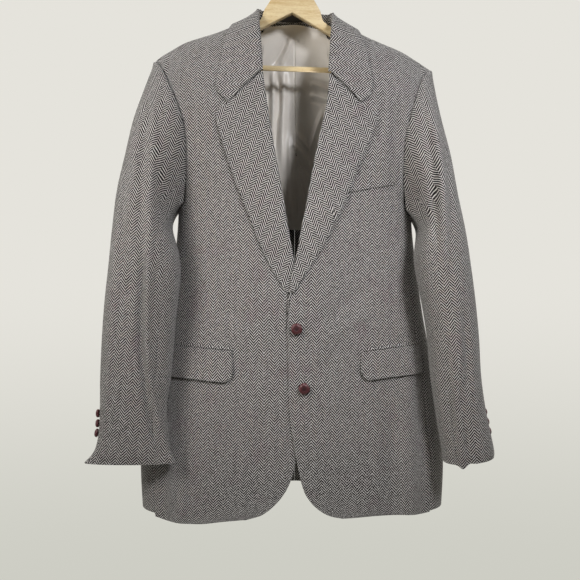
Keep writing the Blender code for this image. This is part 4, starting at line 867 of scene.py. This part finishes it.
for side, label in SIDES:
    share = np.linspace(0.0, 0.985, 96)
    tail = np.linspace(0.0, 1.0, 15)[1:]
    top, bottom = LAPEL_TOP[side], LAPEL_BOTTOM[side]
    roll_z = top + (bottom - top) * share
    last = len(LAPEL_EDGE[side]["x"]) - 1.0
    edge_x = along(LAPEL_EDGE[side]["x"], share * last)
    edge_z = along(LAPEL_EDGE[side]["z"], share * last)
    tail_z = roll_z[-1] - 0.040 * tail
    roll_x = read(FRONT_EDGE[side], "z", "x", np.concatenate((roll_z, tail_z)))
    width = edge_x[-1] - roll_x[len(share) - 1]
    narrow = FOLD_RADIUS * smooth((tail_z - bottom + 0.05) / 0.03) - 0.0003
    narrow = np.maximum(narrow, 0.0007)
    tail_width = narrow + (width - narrow) * (1.0 - smooth(tail / 0.35))
    edge_x = np.concatenate((edge_x, roll_x[len(share):] + tail_width))
    edge_z = np.concatenate((edge_z, tail_z))
    roll_z = np.concatenate((roll_z, tail_z))
    spring = LAPEL_SPRING * smooth((1.0 - share) * 2.2 - 0.2) * (0.5 + 0.5 * smooth(share / 0.2))
    spring = np.concatenate((spring, tail * 0.0))
    laid = (CLOTH + CLEAR) * np.concatenate((share * 0.0 + 1.0, 1.0 - smooth(tail / 0.5)))
    tucked = smooth((-0.44 - roll_z) / 0.06) if side == LEFT else roll_z * 0.0
    under = -(2.0 * CLOTH + CLEAR) + (CLOTH + CLEAR - 0.0001) * tucked
    facing = FACING + (0.0016 - FACING) * tucked

    length = np.hypot(edge_x - roll_x, edge_z - roll_z)
    radius = np.minimum(ROLL, 0.45 * length)
    run, out = [], []
    for k in np.linspace(1.0, 0.0, 6)[:-1]:
        run.append(radius * 0.9 + np.maximum(facing - radius, 0.0) * k)
        out.append(under)
    for turn in np.radians(np.linspace(-90.0, 90.0, 13)):
        run.append(radius * (1.0 - math.cos(turn)))
        out.append(0.5 * (laid + under) + 0.5 * (laid - under) * math.sin(turn))
    for s in np.linspace(0.0, 1.0, 42)[1:]:
        run.append(radius + (length - radius) * s)
        out.append(laid + spring * smooth(s * 1.6))
    s = np.stack(run, axis=1) / length[:, None]
    x = roll_x[:, None] + (edge_x - roll_x)[:, None] * s
    z = roll_z[:, None] + (edge_z - roll_z)[:, None] * s
    # The top edge bends at the notch, and the next rows follow it less and less.
    notch_x, notch_z = NOTCH[side]
    bend = np.array((notch_x - roll_x[0] - (edge_x[0] - roll_x[0]) * NOTCH_SHARE,
                     notch_z - roll_z[0] - (edge_z[0] - roll_z[0]) * NOTCH_SHARE))
    tent = np.where(s < NOTCH_SHARE, s / NOTCH_SHARE, (1.0 - s) / (1.0 - NOTCH_SHARE))
    tent = np.clip(tent, 0.0, 1.0) * (1.0 - smooth(np.arange(len(roll_z)) / 12.0))[:, None]
    x, z = x + bend[0] * tent, z + bend[1] * tent
    points = on_front(side, x, z, np.stack(out, axis=1))
    normals = grid_normals(points)
    lean = math.radians(LAPEL_GRAIN)
    weave = np.stack((side * (x * math.cos(lean) + z * math.sin(lean)),
                      x * math.sin(lean) - z * math.cos(lean)), axis=-1)
    lapel = shell("lapel_" + label, points, normals, weave, CLOTH, tweed, (0, -1, 0))
    finish_sheet(lapel, "lapel_" + label, "tweed", *LAPEL_CUT[side], ["front_" + label])

# ============================================================================ collar
# One piece of tweed over a melton undercollar: a stand up inside the neck, a rolled
# fold, and a leaf that lies on the shoulders and ends above the notches. It is cut with the
# grain upright at the centre back, so at the front its columns run across it.
COLLAR = {
    LEFT: {
        "neck_x": (0.0560, 0.0572, 0.0592, 0.0618, 0.0628, 0.0610, 0.0500, 0.0280, 0.0003),
        "neck_angle": (-77.4, -68.0, -54.0, -33.0, -8.0, 0.0, 0.0, 0.0, 0.0),
        "edge_x": (0.1060, 0.1240, 0.1180, 0.1110, 0.1020, 0.0980, 0.0880, 0.0500, 0.0003),
        "edge_angle": (-90.4, -76.0, -56.0, -32.0, -4.0, 16.0, 32.0, 42.0, 44.0),
        "lift_y": (-0.0030, -0.0034, -0.0034, -0.0022, 0.0000, 0.0014, 0.0022, 0.0030, 0.0030),
        "lift_z": (0.0000, 0.0010, 0.0034, 0.0062, 0.0088, 0.0130, 0.0190, 0.0240, 0.0250),
        "stand": (0.10, 0.25, 0.60, 0.90, 1.00, 1.00, 1.00, 1.00, 1.00),
    },
    RIGHT: {
        "neck_x": (0.0540, 0.0550, 0.0568, 0.0600, 0.0612, 0.0592, 0.0490, 0.0280, 0.0003),
        "neck_angle": (-79.3, -70.0, -56.0, -34.0, -8.0, 0.0, 0.0, 0.0, 0.0),
        "edge_x": (0.1070, 0.1262, 0.1195, 0.1115, 0.1010, 0.0980, 0.0880, 0.0510, 0.0003),
        "edge_angle": (-94.0, -79.0, -58.0, -32.0, -4.0, 18.0, 34.0, 43.0, 44.0),
        "lift_y": (-0.0030, -0.0034, -0.0034, -0.0022, 0.0000, 0.0014, 0.0022, 0.0030, 0.0030),
        "lift_z": (0.0000, 0.0010, 0.0034, 0.0062, 0.0088, 0.0130, 0.0190, 0.0240, 0.0250),
        "stand": (0.10, 0.25, 0.60, 0.90, 1.00, 1.00, 1.00, 1.00, 1.00),
    },
}
STAND_INSIDE = 0.0026           # the stand's face is this far inside the neck seam
COLLAR_CUT = ((0.609, 0.095), 0.0351)


def shoulder_point(side, x, angle):
    """Point of the body found by turning over the shoulder line."""
    behind = angle > 0.0
    turn = np.radians(np.minimum(np.abs(angle), 90.0))
    beyond = np.radians(np.maximum(np.abs(angle) - 90.0, 0.0))
    z = shoulder_z(side, np.where(behind, x, np.maximum(x, NECK_HALF_WIDTH[side])))
    z = z - np.where(behind, BACK_ROLL, FRONT_ROLL) * (1.0 - np.cos(turn) + beyond)
    return point(side, x, np.where(behind, back_y(side, x, z), front_y(side, x, z)), z)


def collar_sections(side, place):
    """Control points of the collar's sections: up the stand, over the fold, down the
    leaf. The result counts points first, then places."""
    value = {name: along(column, place) for name, column in COLLAR[side].items()}
    zero = place * 0.0
    lift = np.stack((zero, value["lift_y"], value["lift_z"]), axis=-1)
    behind = place > 4.5
    small = np.where(behind, 0.4, -0.4)
    low = np.where(behind, np.maximum(value["neck_angle"], 0.4), value["neck_angle"])
    base = shoulder_point(side, value["neck_x"], low)

    def neck(at):
        return shoulder_point(side, along(COLLAR[side]["neck_x"], at),
                              along(COLLAR[side]["neck_angle"], at) + small * 0.01)

    run = unit(neck(np.minimum(place + 0.1, 8.0)) - neck(np.maximum(place - 0.1, 0.0)))
    up = unit(lift + np.array((0.0, 0.0, 1e-5)))
    out = unit(np.cross(run, up)) * side
    inward = base[:, 0] * out[:, 0] + 0.6 * base[:, 1] * out[:, 1] < 0.0
    out = np.where(inward[:, None], -out, out)
    depth = (CLOTH * (1.0 - smooth(value["stand"] * 1.2)))[:, None]
    sections = [base - out * STAND_INSIDE - up * depth,
                base + lift * 0.50 - out * STAND_INSIDE,
                base + lift * 0.90 - out * STAND_INSIDE * 0.7,
                base + lift + up * 0.0016 + out * 0.0010]
    for s in (0.06, 0.16, 0.32, 0.52, 0.76, 1.0):
        x = value["neck_x"] + (value["edge_x"] - value["neck_x"]) * s
        angle = value["neck_angle"] + (value["edge_angle"] - value["neck_angle"]) * s
        angle = np.where(behind, np.maximum(angle, 0.4), angle)
        on_body = shoulder_point(side, x, angle)
        h, turn = 0.004, math.degrees(0.004)
        n = unit(np.cross(shoulder_point(side, x + h, angle) - shoulder_point(side, x - h, angle),
                          shoulder_point(side, x, angle + turn)
                          - shoulder_point(side, x, angle - turn)))
        away = n[:, 1] * on_body[:, 1] + 0.02 * n[:, 2] < 0.0
        n = np.where(away[:, None], -n, n)
        air = CLOTH + CLEAR + LAPEL_SPRING * 0.5 * s + 0.0016 * smooth(place - 3.5)
        sections.append(on_body + n * air[:, None] + lift * (1.0 - s) ** 2)
    return np.stack(sections)


halves = [collar_sections(RIGHT, np.linspace(0.0, 8.0, 97)),
          collar_sections(LEFT, np.linspace(8.0, 0.0, 97)[1:])]
steps = np.concatenate((np.linspace(0.0, 2.0, 8), np.linspace(2.0, 5.0, 18)[1:],
                        np.linspace(5.0, 9.0, 26)[1:]))
points = along(np.concatenate(halves, axis=1), steps)
normals = grid_normals(points)
level = run_length(points, 1, 96)[36:37] + np.zeros((len(points), 1))
across = run_length(points, 0, 18)
for side, columns, third in ((RIGHT, slice(0, 97), 36), (LEFT, slice(97, 193), 156)):
    # In front the leaf's columns lie level; they turn to follow the neck round the back.
    place = 8.0 - np.abs(np.arange(193)[columns] - 96.0) / 12.0
    front = 1.0 - smooth((place - 1.6) / 2.0)
    x, z = side * points[:, columns, 0], points[:, columns, 2]
    start = np.abs(level[0, third]) + points[36, third, 2]
    outwards = x - side * points[18, third, 0]
    level[:, columns] += (side * (start - z) - level[:, columns]) * front
    across[:, columns] += (outwards - across[:, columns]) * front
weave = np.stack((level, across), axis=-1)
collar = shell("collar", points, normals, weave, CLOTH, tweed, (0, 1, 0))
finish_sheet(collar, "collar", "tweed", *COLLAR_CUT,
             ["back_left", "back_right", "front_left", "front_right"])

# ============================================================================ pockets
# Two jetted hip pockets with flaps cut to match the fronts, and a plain breast welt. The
# flaps are lined, rounded at the front corner, and sewn in under a narrow jet.
FLAP_SKIN = 0.0020
FLAP = {
    LEFT: {"front": (0.1069, -0.6802), "outer": (0.2080, -0.6690), "height": 0.0470},
    RIGHT: {"front": (0.1008, -0.6780), "outer": (0.2040, -0.6700), "height": 0.0520},
}
FLAP_CORNER = 0.016
FLAP_CUT = {LEFT: ((0.116, 0.047), 0.00486), RIGHT: ((0.117, 0.051), 0.00546)}
JET_HEIGHT = 0.0042
WELT_CUT = ((0.078, 0.025), 0.00158)
WELT_CORNERS = ((0.0850, -0.4005), (0.1496, -0.3880), (0.1616, -0.4088), (0.0880, -0.4235))


def patch(name, side, x, z, out, thickness):
    """Cloth lying on a front, its pattern in line with the front's."""
    points = on_front(side, x, z, out)
    normals = grid_normals(points)
    weave = np.stack((grain_x(front_y, side, x), -z), axis=-1)
    return shell(name, points, normals, weave, thickness, tweed, (0, -1, 0))


for side, label in SIDES:
    flap = FLAP[side]
    (x0, z0), (x1, z1) = flap["front"], flap["outer"]
    span = x1 - x0
    near = FLAP_CORNER * (1.0 - np.cos(np.radians(np.linspace(4.0, 90.0, 14)))) / span
    u, v = np.meshgrid(np.concatenate(([0.0], near, np.linspace(near[-1], 1.0, 44)[1:])),
                       np.linspace(0.0, 1.0, 26))
    x, top = x0 + span * u, z0 + (z1 - z0) * u
    rest = np.maximum(FLAP_CORNER - (x - x0), 0.0)
    height = flap["height"] - FLAP_CORNER + np.sqrt(np.maximum(FLAP_CORNER ** 2 - rest ** 2, 0.0))
    z = top - height * v
    lift = 0.0012 * v + 0.0016 * v ** 3 * (0.5 + 0.5 * np.cos(5.0 * u + side))
    piece = patch("flap_" + label, side, x, z, 2.0 * CLEAR + FLAP_SKIN + lift, FLAP_SKIN)
    u, v = np.meshgrid(np.linspace(0.0, 1.0, 60), np.linspace(0.0, 1.0, 9))
    x = x0 + span * u
    z = z0 + (z1 - z0) * u + JET_HEIGHT * (1.0 - v) + 0.0004
    round_face = 0.0010 * np.sqrt(np.maximum(np.sin(math.pi * v), 0.0))
    jet = patch("jet_" + label, side, x, z, 2.0 * CLEAR + 0.0009 + round_face, 0.0009)
    settle(jet, "jet_" + label)
    finish_sheet(piece, "flap_" + label, "tweed", *FLAP_CUT[side], ["front_" + label], [jet])

u, v = np.meshgrid(np.linspace(0.0, 1.0, 40), np.linspace(0.0, 1.0, 16))
corners = np.array(WELT_CORNERS)
upper = corners[0] + (corners[1] - corners[0]) * u[..., None]
lower = corners[3] + (corners[2] - corners[3]) * u[..., None]
flat = upper + (lower - upper) * v[..., None]
welt = patch("breast_welt", LEFT, flat[..., 0], flat[..., 1], 0.0020 + v * 0.0, 0.0015)
finish_sheet(welt, "breast_welt", "tweed", *WELT_CUT, ["front_left"])

# ============================================================================ lining
# A half lining of warm grey satin hangs inside the backs from the neck seam to its own turned
# and stitched hem, loose enough to fall in pleats. The woven label is sewn to the stand.
SATIN = 0.0010
LINING_END = -0.475
LINING_HALF_WIDTH = 0.172
LINING_AIR = 0.0034
LINING_DROP = 0.020             # how far its top falls below the shoulder, past the neck
LINING_DROP_X, LINING_DROP_FADE = 0.050, 0.016
LINING_ARMHOLE_GAP = 0.012
LINING_CUT = ((0.390, 0.358), 0.1134)
LABEL_AIR = 0.0027
LABEL = {"width": 0.052, "top": -0.0985, "bottom": -0.1160}
LABEL_CUT = ((0.0524, 0.0170), 0.00087)
LINING_CREASES = (                      # towards the wearer: height, half width, line
    (-0.0039, 0.0035, ((-0.0335, -0.190), (-0.0275, -0.2250), (-0.0275, -0.2668),
                       (-0.0324, -0.2842), (-0.0336, -0.3500))),
    (0.0055, 0.0060, ((-0.0200, -0.180), (-0.0190, -0.2400), (-0.0215, -0.3100),
                      (-0.0210, -0.3800))),
    (0.0047, 0.0050, ((-0.0380, -0.190), (-0.0370, -0.2500), (-0.0390, -0.3300))),
    (-0.0035, 0.0045, ((-0.0440, -0.195), (-0.0463, -0.2494), (-0.0440, -0.3400))),
    (-0.0031, 0.0030, ((-0.0100, -0.140), (-0.0240, -0.1670), (-0.0400, -0.1920))),
    (0.0031, 0.0040, ((-0.0050, -0.142), (-0.0150, -0.1680), (-0.0260, -0.1920))),
    (0.0049, 0.0036, ((0.0260, -0.219), (0.0420, -0.2260), (0.0640, -0.2340))),
    (-0.0035, 0.0028, ((0.0270, -0.212), (0.0440, -0.2180), (0.0640, -0.2250))),
    (0.0042, 0.0036, ((0.0260, -0.237), (0.0430, -0.2430), (0.0620, -0.2500))),
    (-0.0035, 0.0028, ((0.0240, -0.2465), (0.0400, -0.2520), (0.0620, -0.2580))),
    (0.0044, 0.0038, ((-0.0040, -0.299), (0.0129, -0.3173), (0.0259, -0.3347),
                      (0.0372, -0.3016), (0.0520, -0.2600))),
    (0.0044, 0.0036, ((-0.0060, -0.321), (0.0111, -0.3399), (0.0216, -0.3555),
                      (0.0330, -0.3780))),
    (-0.0035, 0.0026, ((-0.0050, -0.329), (0.0085, -0.3538), (0.0164, -0.3677),
                       (0.0320, -0.3840))),
    (-0.0029, 0.0024, ((0.0010, -0.345), (0.0111, -0.3886), (0.0164, -0.4147),
                       (0.0200, -0.4560))),
    (0.0039, 0.0050, ((-0.0110, -0.300), (-0.0075, -0.3712), (-0.0045, -0.4234),
                      (-0.0020, -0.4800))),
    (-0.0018, 0.0011, ((0.0002, -0.120), (-0.0002, -0.2494), (0.0024, -0.3364),
                       (0.0077, -0.4750))),
    (-0.0035, 0.0060, ((0.0900, -0.190), (0.0860, -0.2700), (0.0900, -0.3600))),
    (0.0039, 0.0070, ((0.1100, -0.190), (0.1060, -0.2800), (0.1080, -0.4000))),
    (-0.0035, 0.0060, ((-0.0900, -0.200), (-0.0840, -0.2900), (-0.0880, -0.3800))),
    (0.0039, 0.0070, ((-0.1120, -0.200), (-0.1060, -0.3000), (-0.1100, -0.4200))),
)


def make_satin(name, colours, roughness, weave_scale):
    """Fine warp-faced satin: a slight change of shade, and threads too small to see apart."""
    mat, tree, shader = new_material(name, roughness, Specular_IOR_Level=0.45,
                                     Sheen_Weight=0.40, Sheen_Roughness=0.35)
    weave = add(tree, "UVMap", uv_map="weave").outputs[0]
    stretched = add(tree, "Mapping", weave, None, None, (weave_scale, weave_scale * 0.12, 1.0))
    threads = add(tree, "TexNoise", stretched.outputs[0], None, 1.0, 2.0, 0.6).outputs[0]
    cloud = add(tree, "TexNoise", weave, None, 18.0, 3.0, 0.5).outputs[0]
    blend = add(tree, "Math", threads, 0.35, cloud, operation="MULTIPLY_ADD").outputs[0]
    ramp = add(tree, "ValToRGB", blend)
    for element, position, value in zip(ramp.color_ramp.elements, (0.40, 0.95), colours):
        element.position, element.color = position, linear(value)
    tree.links.new(ramp.outputs[0], shader.inputs["Base Color"])
    bump = add(tree, "Bump", 0.12, 0.0002, None, threads)
    tree.links.new(bump.outputs[0], shader.inputs["Normal"])
    return mat


satin = make_satin("warm_grey_satin", ("#dcd4ca", "#f4eee5"), 0.32, 2600.0)
share = np.concatenate((np.linspace(0.004, 0.96, 150), np.linspace(0.96, 1.0, 12)[1:]))
w = np.linspace(-1.0, 1.0, 181)
w, share = np.meshgrid(w * np.abs(w) ** 0.4, share)
halves = []
for side in (RIGHT, LEFT):
    top_x = np.abs(w) * LINING_HALF_WIDTH
    top = shoulder_z(side, top_x) - 0.0008
    top = top - LINING_DROP * smooth((top_x - LINING_DROP_X) / LINING_DROP_FADE)
    z = top + (LINING_END - top) * share
    x = np.minimum(top_x, armhole_x(side, z, "back_x") - LINING_ARMHOLE_GAP)
    h, near_x = 0.0008, np.maximum(x, 0.001)
    slope_x = side * (back_y(side, near_x + h, z) - back_y(side, near_x - h, z)) / (2 * h)
    slope_z = (back_y(side, x, z + h) - back_y(side, x, z - h)) / (2 * h)
    normal = unit(np.stack((-slope_x, slope_x * 0.0 + 1.0, -slope_z), axis=-1))
    stitched = -0.0009 * np.exp(-((z - LINING_END - 0.0085) / 0.0009) ** 2)
    folds = crease_height(LINING_CREASES, side * x, z) + stitched
    inside = CLOTH + LINING_AIR + SATIN + folds * smooth((top - z) / 0.02)
    halves.append(point(side, x, back_y(side, x, z), z) - normal * inside[..., None])
points = np.where((w < 0.0)[..., None], halves[0], halves[1])
normals = grid_normals(points)
weave = np.stack((run_length(points, 1, 90), run_length(points, 0, 0)), axis=-1)
lining = shell("lining_back", points, normals, weave, SATIN, satin, (0, -1, 0))
finish_sheet(lining, "lining_back", "satin", *LINING_CUT, ["back_left", "back_right"])

woven = make_satin("black_woven_label", ("#0d0d0f", "#1d1c1f"), 0.60, 1800.0)
x, z = np.meshgrid(np.linspace(-0.5, 0.5, 50) * LABEL["width"],
                   np.linspace(LABEL["top"], LABEL["bottom"], 18))
y = np.where(x < 0.0, neck_y(RIGHT, np.abs(x)), neck_y(LEFT, np.abs(x))) - LABEL_AIR - SATIN
points = np.stack((x, y, z), axis=-1)
normals = grid_normals(points)
label_piece = shell("neck_label", points, normals, np.stack((x, -z), axis=-1), SATIN, woven,
                    (0, -1, 0))
finish_sheet(label_piece, "neck_label", "label", *LABEL_CUT, ["collar"])

# ============================================================================ buttons
# Woven leather knots in dark burgundy: straps laced over and under into a flattened
# ball, with a painted highlight where they stand up. Two close the front, three sit on each cuff.
FRONT_BUTTONS = ((0.0024, -0.6416), (0.0146, -0.7374))
FRONT_BUTTON_RADIUS = 0.0098
CUFF_BUTTON_Z = (-0.7780, -0.7940, -0.8096)
CUFF_BUTTON_RADIUS = 0.0074
CUFF_BUTTON_TURN = {LEFT: -16.0, RIGHT: -2.0}
# Dark burgundy leather, and the painted highlight where a strap stands up.
BURGUNDY = ("#150407", "#7a3e42")       # in the hollows, and where a strap stands up


def make_leather():
    """Dyed and waxed calf leather: almost black, with a painted highlight in pale burgundy
    where the straps stand up; softly glossy, with a fine grain."""
    mat, tree, shader = new_material("burgundy_knot_leather", 0.36, Specular_IOR_Level=0.5,
                                     Coat_Weight=0.25, Coat_Roughness=0.3)
    place = add(tree, "TexCoord").outputs["Object"]
    grain = add(tree, "TexNoise", place, None, 1400.0, 3.0, 0.6).outputs[0]
    # Painted highlight: pale where the straps stand up (high pointiness), broken up by the grain.
    worn = add(tree, "NewGeometry").outputs["Pointiness"]
    worn = add(tree, "MapRange", worn, 0.50, 0.58, 0.0, 1.0).outputs[0]
    worn = add(tree, "Math", worn, grain, operation="MULTIPLY").outputs[0]
    ramp = add(tree, "ValToRGB", worn)
    for element, position, value in zip(ramp.color_ramp.elements, (0.0, 0.6), BURGUNDY):
        element.position, element.color = position, linear(value)
    tree.links.new(ramp.outputs[0], shader.inputs["Base Color"])
    bump = add(tree, "Bump", 0.25, 0.0002, None, grain)
    tree.links.new(bump.outputs[0], shader.inputs["Normal"])
    return mat


leather = make_leather()


def model_knot():
    """Unit knot: four laced straps round a ball, flattened along Z."""
    bpy.ops.object.select_all(action="DESELECT")
    parts = []
    for k in range(4):
        bpy.ops.mesh.primitive_torus_add(major_radius=0.66, minor_radius=0.30,
                                         major_segments=36, minor_segments=12,
                                         rotation=(math.radians(48.0), 0.0,
                                                   math.radians(45.0 + 90.0 * k)))
        parts.append(bpy.context.object)
    bpy.ops.mesh.primitive_uv_sphere_add(segments=32, ring_count=16, radius=0.80)
    parts.append(bpy.context.object)
    for part in parts:
        part.select_set(True)
    bpy.ops.object.join()
    knot = bpy.context.object
    bpy.ops.object.transform_apply(location=True, rotation=True, scale=True)
    bpy.ops.object.mode_set(mode="EDIT")
    bpy.ops.mesh.select_all(action="SELECT")
    bpy.ops.transform.resize(value=(1.0, 1.0, 0.50))
    bpy.ops.object.mode_set(mode="OBJECT")
    bpy.ops.object.shade_smooth()
    return knot


knot = model_knot()


def sew_button(name, centre, axis, radius, turn):
    """Copy of the knot at its place, its flat side on the cloth."""
    mesh = knot.data.copy()
    mesh.name = name
    facing = Vector(axis).to_track_quat("Z", "Y").to_matrix().to_4x4()
    mesh.transform(Matrix.Translation(centre) @ facing @ Matrix.Rotation(turn, 4, "Z")
                   @ Matrix.Scale(radius, 4))
    mesh.materials.clear()
    mesh.materials.append(leather)
    settle(link_mesh(name + "_knot", mesh), name)


for i, (x, z) in enumerate(FRONT_BUTTONS):
    centre = on_front(LEFT, np.array(x), np.array(z), np.array(FRONT_BUTTON_RADIUS * 0.42))
    sew_button("front_button_%d" % (i + 1), Vector(centre), (0.0, -1.0, 0.0),
               FRONT_BUTTON_RADIUS, 0.2 + 0.5 * i)
for side, label in SIDES:
    for i, z in enumerate(CUFF_BUTTON_Z):
        rings = np.linspace(8.0, 14.0, 1200)
        ring = rings[int(np.argmin(np.abs(sleeve_point(side, rings * 0.0, rings)[:, 2] - z)))]
        turn = CUFF_BUTTON_TURN[side]
        a = sleeve_point(side, np.array((turn - 1.0, turn + 1.0, turn, turn, turn)),
                         np.array((ring, ring, ring - 0.02, ring + 0.02, ring)))
        n = unit(np.cross(a[1] - a[0], a[3] - a[2]))
        n = n if n[0] * side > 0.0 else -n
        sew_button("cuff_button_%s_%d" % (label, i + 1),
                   Vector(a[4] + n * (CUFF_BUTTON_RADIUS * 0.42 + 0.0006)), n,
                   CUFF_BUTTON_RADIUS, 0.3 * i)
bpy.data.objects.remove(knot, do_unlink=True)

# ============================================================================ hanger
# A shaped arm of pale beech with eased edges under clear lacquer, a turned bar let in
# under it, and a bright steel hook screwed into its neck.
BEECH = ("#d2b27c", "#efdaad")
STEEL = ("#b9babd", "#e2e2e4")


def make_wood():
    """Turned and sanded beech under clear lacquer: pale gold with long fibres and short
    darker flecks along the arm, and a soft gloss."""
    mat, tree, shader = new_material("lacquered_beech", 0.42, Specular_IOR_Level=0.45,
                                     Coat_Weight=0.2, Coat_Roughness=0.25)
    place = add(tree, "TexCoord").outputs["Object"]
    long = add(tree, "Mapping", place, None, None, (9.0, 120.0, 120.0)).outputs[0]
    fibre = add(tree, "TexNoise", long, None, 1.0, 5.0, 0.6)
    fibre.inputs["Distortion"].default_value = 0.4
    fibre = fibre.outputs[0]
    fleck = add(tree, "Mapping", place, None, None, (260.0, 900.0, 900.0)).outputs[0]
    fleck = add(tree, "TexNoise", fleck, None, 1.0, 2.0, 0.5).outputs[0]
    blend = add(tree, "Math", fleck, 0.35, fibre, operation="MULTIPLY_ADD").outputs[0]
    ramp = add(tree, "ValToRGB", blend)
    for element, position, value in zip(ramp.color_ramp.elements, (0.48, 0.82), BEECH):
        element.position, element.color = position, linear(value)
    tree.links.new(ramp.outputs[0], shader.inputs["Base Color"])
    bump = add(tree, "Bump", 0.08, 0.0003, None, blend)
    tree.links.new(bump.outputs[0], shader.inputs["Normal"])
    return mat


def make_steel():
    """Drawn and polished steel wire: bright, with fine marks that break up its gloss."""
    mat, tree, shader = new_material("bright_steel_wire", 0.22, Metallic=1.0)
    place = add(tree, "TexCoord").outputs["Object"]
    brushed = add(tree, "TexNoise", place, None, 900.0, 3.0, 0.6).outputs[0]
    ramp = add(tree, "ValToRGB", brushed)
    for element, position, value in zip(ramp.color_ramp.elements, (0.0, 1.0), STEEL):
        element.position, element.color = position, linear(value)
    tree.links.new(ramp.outputs[0], shader.inputs["Base Color"])
    rough = add(tree, "MapRange", brushed, 0.3, 0.7, 0.16, 0.30).outputs[0]
    tree.links.new(rough, shader.inputs["Roughness"])
    return mat


wood, steel = make_wood(), make_steel()
for name, finish, slot, bevel in (("hanger_body", wood, "wood", 0.0011),
                                  ("hanger_bar", wood, "wood", 0.0),
                                  ("hanger_hook", steel, "steel", 0.0)):
    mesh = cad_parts[name].data.copy()
    mesh.name = name
    mesh.transform(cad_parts[name].matrix_world)
    obj = link_mesh(name + "_finished", mesh)
    bpy.ops.object.select_all(action="DESELECT")
    bpy.context.view_layer.objects.active = obj
    obj.select_set(True)
    bpy.ops.object.mode_set(mode="EDIT")
    bpy.ops.mesh.select_all(action="SELECT")
    bpy.ops.mesh.remove_doubles(threshold=0.00002)
    bpy.ops.mesh.tris_convert_to_quads()
    bpy.ops.object.mode_set(mode="OBJECT")
    if bevel:
        eased = obj.modifiers.new("eased", "BEVEL")
        eased.width, eased.segments, eased.limit_method = bevel, 3, "ANGLE"
        eased.angle_limit = math.radians(24.0)
        bpy.ops.object.modifier_apply(modifier="eased")
    bpy.ops.object.shade_smooth_by_angle(angle=math.radians(50.0))
    mesh.materials.clear()
    mesh.materials.append(finish)
    settle(obj, name)

# ============================================================================ studio
# Pale floor at the height a coat hook leaves, daylight that is dimmer from the front and from
# below, and two soft lights from above: a larger one at the wearer's right, a smaller one at
# the left that draws the edges of the fronts and flaps.
FLOOR_Z, FLOOR_RADIUS = -1.90, 1.9
FLOOR_COLOUR = "#dfded7"
ROOM_COLOURS = ("#cdcdc4", "#e5e3dc")           # near the floor, and above
FRONT_SHARE, LOW_SHARE = 0.15, 0.15             # of the daylight that comes from there
CAMERA_PLACE = (-0.008, -1.26, -0.58)
LENS, SENSOR = 46.55, 36.0                      # millimetres
SOFT_LIGHTS = (                                 # name, place, aim, size, watts, colour, spread
    ("window", (-1.15, -1.15, 0.20), (0.0, 0.0, -0.50), 0.7, 2.1, "#fffdf9", 52.0),
    ("fill", (0.80, -1.4, 0.40), (0.05, 0.0, -0.50), 0.35, 2.0, "#f8faff", 52.0),
)

scene = bpy.context.scene
scene.view_settings.view_transform = "Standard"
world = bpy.data.worlds.new("pale_room")
world.use_nodes = True
sky = world.node_tree
height = add(sky, "SeparateXYZ", add(sky, "TexCoord").outputs["Generated"]).outputs[2]
shade = add(sky, "MapRange", height, -0.36, 0.02, 0.0, 1.0, interpolation_type="SMOOTHSTEP")
shade = add(sky, "ValToRGB", shade.outputs[0])
for element, value in zip(shade.color_ramp.elements, ROOM_COLOURS):
    element.color = linear(value)
sky.links.new(shade.outputs[0], sky.nodes["Background"].inputs["Color"])
facing = add(sky, "SeparateXYZ", add(sky, "TexCoord").outputs["Generated"]).outputs[1]
facing = add(sky, "MapRange", facing, -0.45, 0.25, FRONT_SHARE, 1.0).outputs[0]
under = add(sky, "MapRange", height, -0.80, -0.42, LOW_SHARE, 1.0).outputs[0]
strength = add(sky, "Math", under, facing, operation="MULTIPLY").outputs[0]
sky.links.new(strength, sky.nodes["Background"].inputs["Strength"])
scene.world = world

bpy.ops.mesh.primitive_circle_add(vertices=96, radius=FLOOR_RADIUS, fill_type="NGON",
                                  location=(0.0, 0.0, FLOOR_Z))
floor = bpy.context.object
floor.name = "floor"
floor_mat, _, floor_shader = new_material("pale_floor", 0.9)
floor_shader.inputs["Base Color"].default_value = linear(FLOOR_COLOUR)
floor.data.materials.append(floor_mat)


def soft_light(name, location, target, size, energy, colour, spread):
    data = bpy.data.lights.new(name, "AREA")
    data.spread = math.radians(spread)
    data.shape, data.size, data.energy = "DISK", size, energy
    data.color = linear(colour)[:3]
    light = bpy.data.objects.new(name, data)
    light.location = location
    aim = Vector(target) - Vector(location)
    light.rotation_euler = aim.to_track_quat("-Z", "Y").to_euler()
    scene.collection.objects.link(light)


for light in SOFT_LIGHTS:
    soft_light(*light)

lens = bpy.data.cameras.new("camera")
lens.lens, lens.sensor_width = LENS, SENSOR
camera = bpy.data.objects.new("camera", lens)
camera.location = CAMERA_PLACE
camera.rotation_euler = (math.radians(90.0), 0.0, 0.0)
scene.collection.objects.link(camera)
scene.camera = camera
